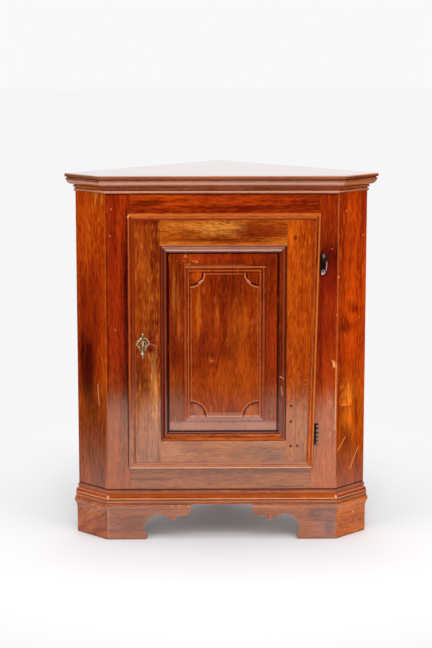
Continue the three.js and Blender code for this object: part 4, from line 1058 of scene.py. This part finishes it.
metal("plate_ground", (170, 130, 70), (122, 84, 38), (72, 42, 14), 0.35, 0.5)
metal("upper_hinge_metal", (120, 40, 20), (80, 12, 4), (58, 6, 3), 0.4, 0.6, marks=[
    # Painted shadow in the gap beside the knuckle, painted highlights on the knuckle, the leaf's edge and
    # the pin's end, and painted shade in the hollows
    scratch_and_shading(287.6, 860, 287.6, 792, 4.4, (18, 4, 2), 0.95, 0.1),
    stain_and_shading(296, 850, 3.0, 6.0, (176, 140, 122), 0.9, 1.2, 0.4),
    stain_and_shading(291.5, 851, 1.6, 3.6, (120, 92, 84), 0.8, 0.4, 0.4),
    stain_and_shading(293.5, 820, 7.5, 12, (18, 5, 3), 0.95, 0.3, 0.3),
    scratch_and_shading(304.8, 831, 303.4, 807, 2.2, (216, 152, 134), 0.85, 0.3),
    stain_and_shading(294, 801.5, 5.8, 7.8, (214, 184, 170), 0.95, 0.7, 0.25),
    stain_and_shading(293.4, 804.6, 2.6, 3.6, (20, 6, 4), 0.95, 0.2, 0.4),
    stain_and_shading(293, 796.2, 3.6, 2.0, (252, 232, 222), 0.95, 0.2, 0.4),
])
metal("lower_hinge_metal", (120, 92, 76), (84, 56, 44), (48, 28, 20), 0.35, 0.5, marks=[
    # Painted shadow in the gap beside the knuckles
    scratch_and_shading(272, 352, 272, 286, 8.0, (18, 6, 4), 0.92, 0.1),
    *[stain_and_shading(281.5, z, 3.6, 3.4, (176, 144, 126), 0.85, 0.3, 0.4) for z in (344, 331, 318, 306, 294)],
    *[scratch_and_shading(276, z, 286, z, 1.4, (20, 8, 6), 0.9, 0.1) for z in (337.5, 324.5, 312, 300)],
])
metal("old_iron", (150, 140, 132), (96, 88, 82), (52, 42, 36), 0.3, 0.5)

# The board each piece is cut from: wood, direction of the grain, direction across it, width of its arris
# where that isn't the usual one. A board's place in this list says which part of the wood it shows.
WOOD_PIECES = {
    "left_front_stile": ("left_stile", UP, SIDE),
    "right_front_stile": ("right_stile", UP, SIDE),
    "top_front_rail": ("top_rail", SIDE, UP),
    "bottom_front_rail": ("bottom_rail", SIDE, UP),
    "left_cant_board": ("left_cant", UP, LEFT_CANT),
    "right_cant_board": ("right_cant", UP, RIGHT_CANT),
    "rear_post": ("inside", UP, RIGHT_WALL, 0.8),
    "bottom_board": ("inside", SIDE, BACK, 0.6),
    "bottom_bearer_left": ("inside", LEFT_WALL, UP, 0.8),
    "bottom_bearer_right": ("inside", RIGHT_WALL, UP, 0.8),
    "bottom_bearer_front": ("inside", SIDE, UP, 0.8),
    "shelf": ("inside", SIDE, BACK, 0.8),
    "shelf_bearer_left": ("inside", LEFT_WALL, UP, 0.8),
    "shelf_bearer_right": ("inside", RIGHT_WALL, UP, 0.8),
    "top_board_front": ("top", SIDE, BACK, 0.6),
    "top_board_back": ("top", SIDE, BACK, 0.6),
    "cornice_front": ("cornice", SIDE, UP),
    "cornice_left": ("cornice", LEFT_CANT, UP),
    "cornice_right": ("cornice", RIGHT_CANT, UP),
    "base_moulding_front": ("base_moulding", SIDE, UP),
    "base_moulding_left": ("base_moulding", LEFT_CANT, UP),
    "base_moulding_right": ("base_moulding", RIGHT_CANT, UP),
    "front_left_bracket": ("left_bracket", SIDE, UP, 0.9),
    "front_right_bracket": ("right_bracket", SIDE, UP, 0.9),
    "left_side_bracket": ("left_side_bracket", DOWN_THE_CANT, UP, 0.9),
    "right_side_bracket": ("right_side_bracket", RIGHT_CANT, UP, 0.9),
    "left_corner_block": ("inside", UP, SIDE, 0.8),
    "right_corner_block": ("inside", UP, SIDE, 0.8),
    "door_left_stile": ("door_left_stile", UP, SIDE),
    "door_right_stile": ("door_right_stile", UP, SIDE),
    "door_top_rail": ("door_top_rail", SIDE, UP),
    "door_bottom_rail": ("door_bottom_rail", SIDE, UP),
    "door_panel": ("panel", UP, SIDE, 0.9),
    "panel_moulding_top": ("top_panel_moulding", SIDE, UP),
    "panel_moulding_bottom": ("low_panel_moulding", SIDE, UP),
    "panel_moulding_left": ("left_panel_moulding", UP, SIDE),
    "panel_moulding_right": ("right_panel_moulding", UP, SIDE),
    "door_lip_top": ("lip_top", SIDE, UP, 0.9),
    "door_lip_bottom": ("lip_bottom", SIDE, UP, 0.9),
    "door_lip_left": ("lip_left", UP, SIDE, 0.9),
    "door_lip_right": ("lip_right", UP, SIDE, 0.9),
}
for wall, along_wall in (("left", LEFT_WALL), ("right", RIGHT_WALL)):
    for row in (1, 2, 3):
        WOOD_PIECES[f"{wall}_back_board_{row}"] = ("back", UP, along_wall, 0.8)

METAL_PIECES = {
    f"{height}_hinge_{part}": f"{height}_hinge_metal"
    for height in ("upper", "lower") for part in ("frame_leaf", "door_leaf", "pin")
}
METAL_PIECES.update(lock_case="old_iron", lock_bolt="old_iron")


# Pieces

def body_of(node):
    return nodes[node]["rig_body"]


def add_object(name, data):
    item = bpy.data.objects.new(name, data)
    bpy.context.scene.collection.objects.link(item)
    return item


def merged_copy(node):
    """A node's mesh with its corners joined and its flat faces whole."""
    shape = bmesh.new()
    shape.from_mesh(nodes[node].data)
    bmesh.ops.remove_doubles(shape, verts=shape.verts, dist=WELD)
    bmesh.ops.dissolve_limit(shape, angle_limit=FLAT, verts=shape.verts, edges=shape.edges)
    return shape


def surface_tree(node):
    mesh = nodes[node].data
    return BVHTree.FromPolygons([v.co for v in mesh.vertices], [p.vertices for p in mesh.polygons])


def meets_neighbour(edge, others):
    """Whether another piece lies against most of an edge's middle."""
    start, end = (vertex.co for vertex in edge.verts)
    places = [start.lerp(end, share) for share in (0.25, 0.5, 0.75)]
    return sum(any(tree.find_nearest(place, TOUCHING)[0] for tree in others) for place in places) >= 2


def round_off(shape, edges, width, steps):
    """Bevels the edges and gives the faces that this makes."""
    return bmesh.ops.bevel(
        shape, geom=edges, offset=width, offset_type="OFFSET", segments=steps, profile=0.5,
        affect="EDGES", clamp_overlap=True, material=-1,
    )["faces"]


def soften_edges(shape, arris, others):
    """Rounds the outer edges, narrowly where pieces join, and fills the inner corners a little."""
    worn = shape.faces.layers.float.new("arris")
    dirty = shape.faces.layers.float.new("corner")
    outer, joined, inner = [], [], []
    for edge in shape.edges:
        if len(edge.link_faces) == 2 and abs(edge.calc_face_angle_signed()) >= ARRIS_FROM:
            if not edge.is_convex:
                inner.append(edge)
            elif meets_neighbour(edge, others):
                joined.append(edge)
            else:
                outer.append(edge)
    for edges, width, layer, steps in (
        (outer, arris, worn, 2), (joined, JOINT_BEVEL, None, 1), (inner, CORNER_BEVEL, dirty, 1),
    ):
        edges = [edge for edge in edges if edge.is_valid]
        if not edges:
            continue
        for face in round_off(shape, edges, width, steps):
            if layer is not None:
                face[layer] = 1.0


def finish_mesh(shape, name, material):
    mesh = bpy.data.meshes.new(name)
    shape.to_mesh(mesh)
    shape.free()
    for polygon in mesh.polygons:
        polygon.use_smooth = True
    mesh.set_sharp_from_angle(angle=SMOOTH_BELOW)
    mesh.materials.append(material)
    piece = add_object(name, mesh)
    flatten = piece.modifiers.new("flat_faces", "WEIGHTED_NORMAL")
    flatten.keep_sharp = True
    flatten.weight = 100
    return piece


def lay_grain(mesh, along, across, place_in_stack):
    """Writes each corner's place along, across and through the plank."""
    offset = STACK_STEP * place_in_stack
    ways = (along, across, along.cross(across))
    values = [vertex.co.dot(way) + start for vertex in mesh.vertices for way, start in zip(ways, offset)]
    mesh.attributes.new("grain", "FLOAT_VECTOR", "POINT").data.foreach_set("vector", values)


def mark_outside(mesh):
    """Marks of the outside aren't carried by the faces that look inwards."""
    values = [float(polygon.normal.y < LOOKS_INWARDS) for polygon in mesh.polygons]
    mesh.attributes.new("outside", "FLOAT", "FACE").data.foreach_set("value", values)


def stand_for(piece, node):
    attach(piece, body_of(node))
    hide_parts(node)


def widen_notches(shape):
    """Opens the notches of the panel's field to their own radius, each about its centre."""
    for x, z, to_x, to_z, radius in NOTCHES:
        for vertex in shape.verts:
            away = Vector((vertex.co.x - x * MM, 0, vertex.co.z - z * MM))
            in_quarter = min(away.x * to_x, away.z * to_z) > -NOTCH_FOUND
            if in_quarter and abs(away.length - NOTCH_MADE) < NOTCH_FOUND:
                vertex.co += away * (radius * MM / NOTCH_MADE - 1)


def dress_wood(node, place_in_stack, wood, along, across, arris=0.5):
    across = (across - along * across.dot(along)).normalized()
    shape = merged_copy(node)
    if node == "door_panel":
        widen_notches(shape)
    soften_edges(shape, arris * MM, [tree for other, tree in SURFACES.items() if other != node])
    piece = finish_mesh(shape, f"{node}_wood", WALNUTS[wood])
    lay_grain(piece.data, along, across, place_in_stack)
    mark_outside(piece.data)
    stand_for(piece, node)


def dress_metal(node, name, material):
    shape = merged_copy(node)
    soften_edges(shape, METAL_ARRIS, [])
    stand_for(finish_mesh(shape, name, METALS[material]), node)


SURFACES = {node: surface_tree(node) for node in nodes}
for place_in_stack, (node, board) in enumerate(WOOD_PIECES.items()):
    dress_wood(node, place_in_stack, *board)
for node, material in METAL_PIECES.items():
    dress_metal(node, f"{node}_metal", material)


# Keyhole plate: a pierced ground with cast scrolls, beads and a leaf drop lying on it.
# Places are millimetres to the right of the plate's middle line and above its foot.
PLATE_MIDDLE = -231.5
PLATE_FOOT = 547.4
PLATE_FACE = -251.5
BEAD_DEPTH = 0.75
PLATE_SCROLLS = {
    # name: (half thickness, [(x, z, share of the thickness)])
    "right_scroll": (1.5, [(2, 61, 0.7), (9.5, 61.5, 1), (14, 56.5, 1), (17.4, 50.5, 1.1),
                           (17.6, 45.5, 1.1), (14, 41, 1), (11, 35.5, 0.9), (8.5, 30, 0.8), (6, 24, 0.6)]),
    "left_scroll": (1.5, [(-2, 61, 0.7), (-7, 59, 1), (-13, 54, 1), (-16, 48, 0.9), (-17.6, 43, 1.1),
                          (-12.5, 38, 1), (-9, 30, 0.9), (-5, 25, 0.7)]),
    "middle_strand": (1.5, [(1, 57, 0.8), (1.2, 49, 1), (0.4, 42, 1), (-2, 34, 1), (-0.5, 28, 0.8),
                            (0, 20, 0.7)]),
    "keyhole_rim": (1.0, [(2.2, 50.5, 0.8), (6.5, 53, 1), (9.6, 48, 1), (8.6, 40.5, 1), (5.4, 36.5, 1),
                          (2.6, 40.5, 1), (1.8, 46, 0.9), (2.2, 50.5, 0.8)]),
    "left_curl": (1.0, [(-10.5, 52, 0.6), (-6.5, 54, 0.9), (-3.6, 50, 1), (-6, 45.5, 0.9),
                        (-9.5, 46.5, 0.7)]),
    "drop": (1.5, [(-0.5, 24, 0.6), (-2.2, 18, 1.2), (0, 10, 1), (0, 3.2, 0.5)]),
}
PLATE_BEADS = {
    # name: (x, z, half width, half height)
    "finial": (0, 74, 2.5, 3.0),
    "neck": (0, 68.4, 1.8, 2.0),
    "left_bead": (-5, 62, 2.4, 2.2),
    "right_bead": (4.6, 62.5, 1.8, 1.8),
    "outer_left_bead": (-12.6, 55.6, 2.3, 2.0),
    "outer_right_bead": (12.8, 59, 1.6, 1.6),
    "low_left_bead": (-9.4, 37, 1.8, 1.8),
    "low_right_bead": (10, 36, 1.6, 1.6),
    "leaf_left": (-3.2, 16, 1.9, 2.6),
    "leaf_right": (2.4, 17, 1.8, 2.4),
    "tip": (0, 4, 1.3, 3.0),
}


def plate_place(x, z):
    return Vector(((PLATE_MIDDLE + x) * MM, PLATE_FACE * MM, (PLATE_FOOT + z) * MM))


def strand_mesh(name, radius, points):
    """A round strand along points, thicker or thinner by each point's share."""
    curve = bpy.data.curves.new(name, "CURVE")
    curve.dimensions = "3D"
    curve.bevel_depth = radius * MM
    curve.bevel_resolution = 2
    curve.resolution_u = 5
    curve.use_fill_caps = True
    line = curve.splines.new("BEZIER")
    line.bezier_points.add(len(points) - 1)
    for point, (x, z, share) in zip(line.bezier_points, points):
        point.co = plate_place(x, z)
        point.radius = share
        point.handle_left_type = point.handle_right_type = "AUTO"
    holder = bpy.data.objects.new(name, curve)
    mesh = bpy.data.meshes.new_from_object(holder)
    bpy.data.objects.remove(holder)
    return mesh


def add_bead(shape, x, z, half_wide, half_high):
    made = bmesh.ops.create_uvsphere(shape, u_segments=12, v_segments=8, radius=1.0)["verts"]
    deep = min(half_wide, half_high) * BEAD_DEPTH
    bmesh.ops.scale(shape, vec=(half_wide * MM, deep * MM, half_high * MM), verts=made)
    bmesh.ops.translate(shape, vec=plate_place(x, z), verts=made)


def make_keyhole_plate():
    dress_metal("keyhole_plate", "keyhole_plate_ground", "plate_ground")
    relief = bmesh.new()
    for name, (radius, points) in PLATE_SCROLLS.items():
        relief.from_mesh(strand_mesh(name, radius, points))
    for bead in PLATE_BEADS.values():
        add_bead(relief, *bead)
    bmesh.ops.remove_doubles(relief, verts=relief.verts, dist=WELD)
    scrolls = finish_mesh(relief, "keyhole_plate_scrolls", METALS["plate_brass"])
    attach(scrolls, body_of("keyhole_plate"))


# Pegs through the mortises of the door, at millimetres to the right of the middle and above the floor
DOOR_FACE = -249.8
PEG_RADIUS = 4.8
PEG_TAPER = 0.86
PEG_RIM = 0.3
PEG_STANDS = 0.5
PEG_DEEP = 2.0
PEG_PLACE_IN_STACK = 61
DOOR_PEGS = [(203, 406), (203, 358.5), (202.5, 285), (221.5, 285)]


def make_pegs(node, places):
    shape = bmesh.new()
    length = PEG_DEEP + PEG_STANDS
    turned = UP.rotation_difference(-BACK).to_matrix()
    for x, z in places:
        made = bmesh.ops.create_cone(
            shape, cap_ends=True, segments=10, radius1=PEG_RADIUS * MM, radius2=PEG_RADIUS * PEG_TAPER * MM,
            depth=length * MM,
        )["verts"]
        bmesh.ops.rotate(shape, cent=(0, 0, 0), matrix=turned, verts=made)
        middle = (DOOR_FACE - PEG_STANDS + length / 2) * MM
        bmesh.ops.translate(shape, vec=(x * MM, middle, z * MM), verts=made)
    rims = [edge for edge in shape.edges if abs(edge.calc_face_angle_signed()) > ARRIS_FROM * 2]
    round_off(shape, rims, PEG_RIM * MM, 2)
    pegs = finish_mesh(shape, f"{node}_pegs", WALNUTS["peg"])
    lay_grain(pegs.data, UP, SIDE, PEG_PLACE_IN_STACK)
    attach(pegs, body_of(node))


make_keyhole_plate()
make_pegs("door_right_stile", DOOR_PEGS)


# Studio

def plane(name, corners, material):
    shape = bmesh.new()
    shape.faces.new([shape.verts.new(corner) for corner in corners])
    mesh = bpy.data.meshes.new(name)
    shape.to_mesh(mesh)
    shape.free()
    mesh.materials.append(material)
    sheet = add_object(name, mesh)
    return sheet


def matt_material(name):
    material, tree, shader = new_material(name)
    shader.inputs["Roughness"].default_value = 1.0
    shader.inputs["Specular IOR Level"].default_value = 0.0
    return material, tree, shader


def paper_material():
    """White paper. Far from the cupboard the camera sees it evenly white. Reflections see it fade
    into the studio's dark floor to the front and the sides."""
    material, tree, shader = matt_material("studio_floor")
    place = object_place(tree)
    away = split(tree, place)
    left = ease(tree, away["X"], -PAPER_FADED_LEFT, -PAPER_SIDE, 1, 0)
    right = ease(tree, away["X"], PAPER_SIDE, PAPER_FADED_RIGHT)
    ahead = ease(tree, away["Y"], PAPER_FADED_FRONT, PAPER_FRONT, 1, 0)
    path = add_node(tree, "ShaderNodeLightPath").outputs
    dark = times(tree, larger(tree, larger(tree, left, right), ahead), path["Is Glossy Ray"])
    far = ease(tree, vector(tree, "LENGTH", place), PAPER_EVEN_FROM, PAPER_EVEN_TO)
    even = times(tree, far, path["Is Camera Ray"])
    paper = mix(tree, path["Is Glossy Ray"], PAPER, PAPER_MIRRORED)
    colour = mix(tree, dark, paper, ROOM_DARK)
    feed(tree, mix(tree, even, colour, NO_LIGHT), shader.inputs["Base Color"])
    feed(tree, mix(tree, even, NO_LIGHT, PAPER_FAR_OFF), shader.inputs["Emission Color"])
    shader.inputs["Emission Strength"].default_value = 1.0
    return material


def make_floor():
    reach = FLOOR_REACH
    plane("floor", [(-reach, -reach, 0), (reach, -reach, 0), (reach, reach, 0), (-reach, reach, 0)],
          paper_material())


def make_dark_room():
    """Dark walls and ceiling that only reflections see; it is open behind the cupboard."""
    material, _, shader = matt_material("dark_room")
    shader.inputs["Base Color"].default_value = ROOM_DARK
    left, right, front, back, top = -ROOM_HALF_WIDTH, ROOM_HALF_WIDTH, ROOM_FRONT, ROOM_BACK, ROOM_HEIGHT
    walls = {
        "room_front": [(left, front, 0), (right, front, 0), (right, front, top), (left, front, top)],
        "room_left": [(left, front, 0), (left, front, top), (left, back, top), (left, back, 0)],
        "room_right": [(right, front, 0), (right, back, 0), (right, back, top), (right, front, top)],
        "room_ceiling": [(left, front, top), (right, front, top), (right, back, top), (left, back, top)],
    }
    for name, corners in walls.items():
        wall = plane(name, corners, material)
        wall.visible_camera = False
        wall.visible_diffuse = False
        wall.visible_shadow = False
        wall.visible_transmission = False


def point_at(item, place, direction):
    item.location = place
    item.rotation_mode = "QUATERNION"
    item.rotation_quaternion = direction.to_track_quat("-Z", "Y")


def soft_light(name, place, aim, width, height, power):
    """A soft box. The polish doesn't mirror it."""
    data = bpy.data.lights.new(name, "AREA")
    data.shape = "RECTANGLE"
    data.size = width
    data.size_y = height
    data.energy = power
    lamp = add_object(name, data)
    point_at(lamp, place, Vector(aim) - Vector(place))
    lamp.visible_glossy = False


def make_world():
    world = bpy.data.worlds.new("studio")
    bpy.context.scene.world = world
    world.use_nodes = True
    tree = world.node_tree
    background = tree.nodes["Background"]
    path = add_node(tree, "ShaderNodeLightPath").outputs
    seen = larger(tree, path["Is Camera Ray"], path["Is Glossy Ray"])
    seen = larger(tree, seen, path["Is Transmission Ray"])
    feed(tree, ease(tree, seen, 0, 1, WORLD_LIGHT, WORLD_SEEN), background.inputs["Strength"])
    background.inputs["Color"].default_value = WORLD_COLOUR


def make_camera():
    data = bpy.data.cameras.new("camera")
    data.lens = CAMERA_LENS
    data.sensor_width = CAMERA_SENSOR
    camera = add_object("camera", data)
    level = math.cos(CAMERA_PITCH)
    forward = Vector((math.sin(CAMERA_YAW) * level, math.cos(CAMERA_YAW) * level, -math.sin(CAMERA_PITCH)))
    point_at(camera, CAMERA_PLACE, forward)
    bpy.context.scene.camera = camera


make_floor()
make_dark_room()
for name, lamp in LAMPS.items():
    soft_light(name, *lamp)
make_world()
make_camera()
bpy.context.scene.view_settings.view_transform = "Standard"
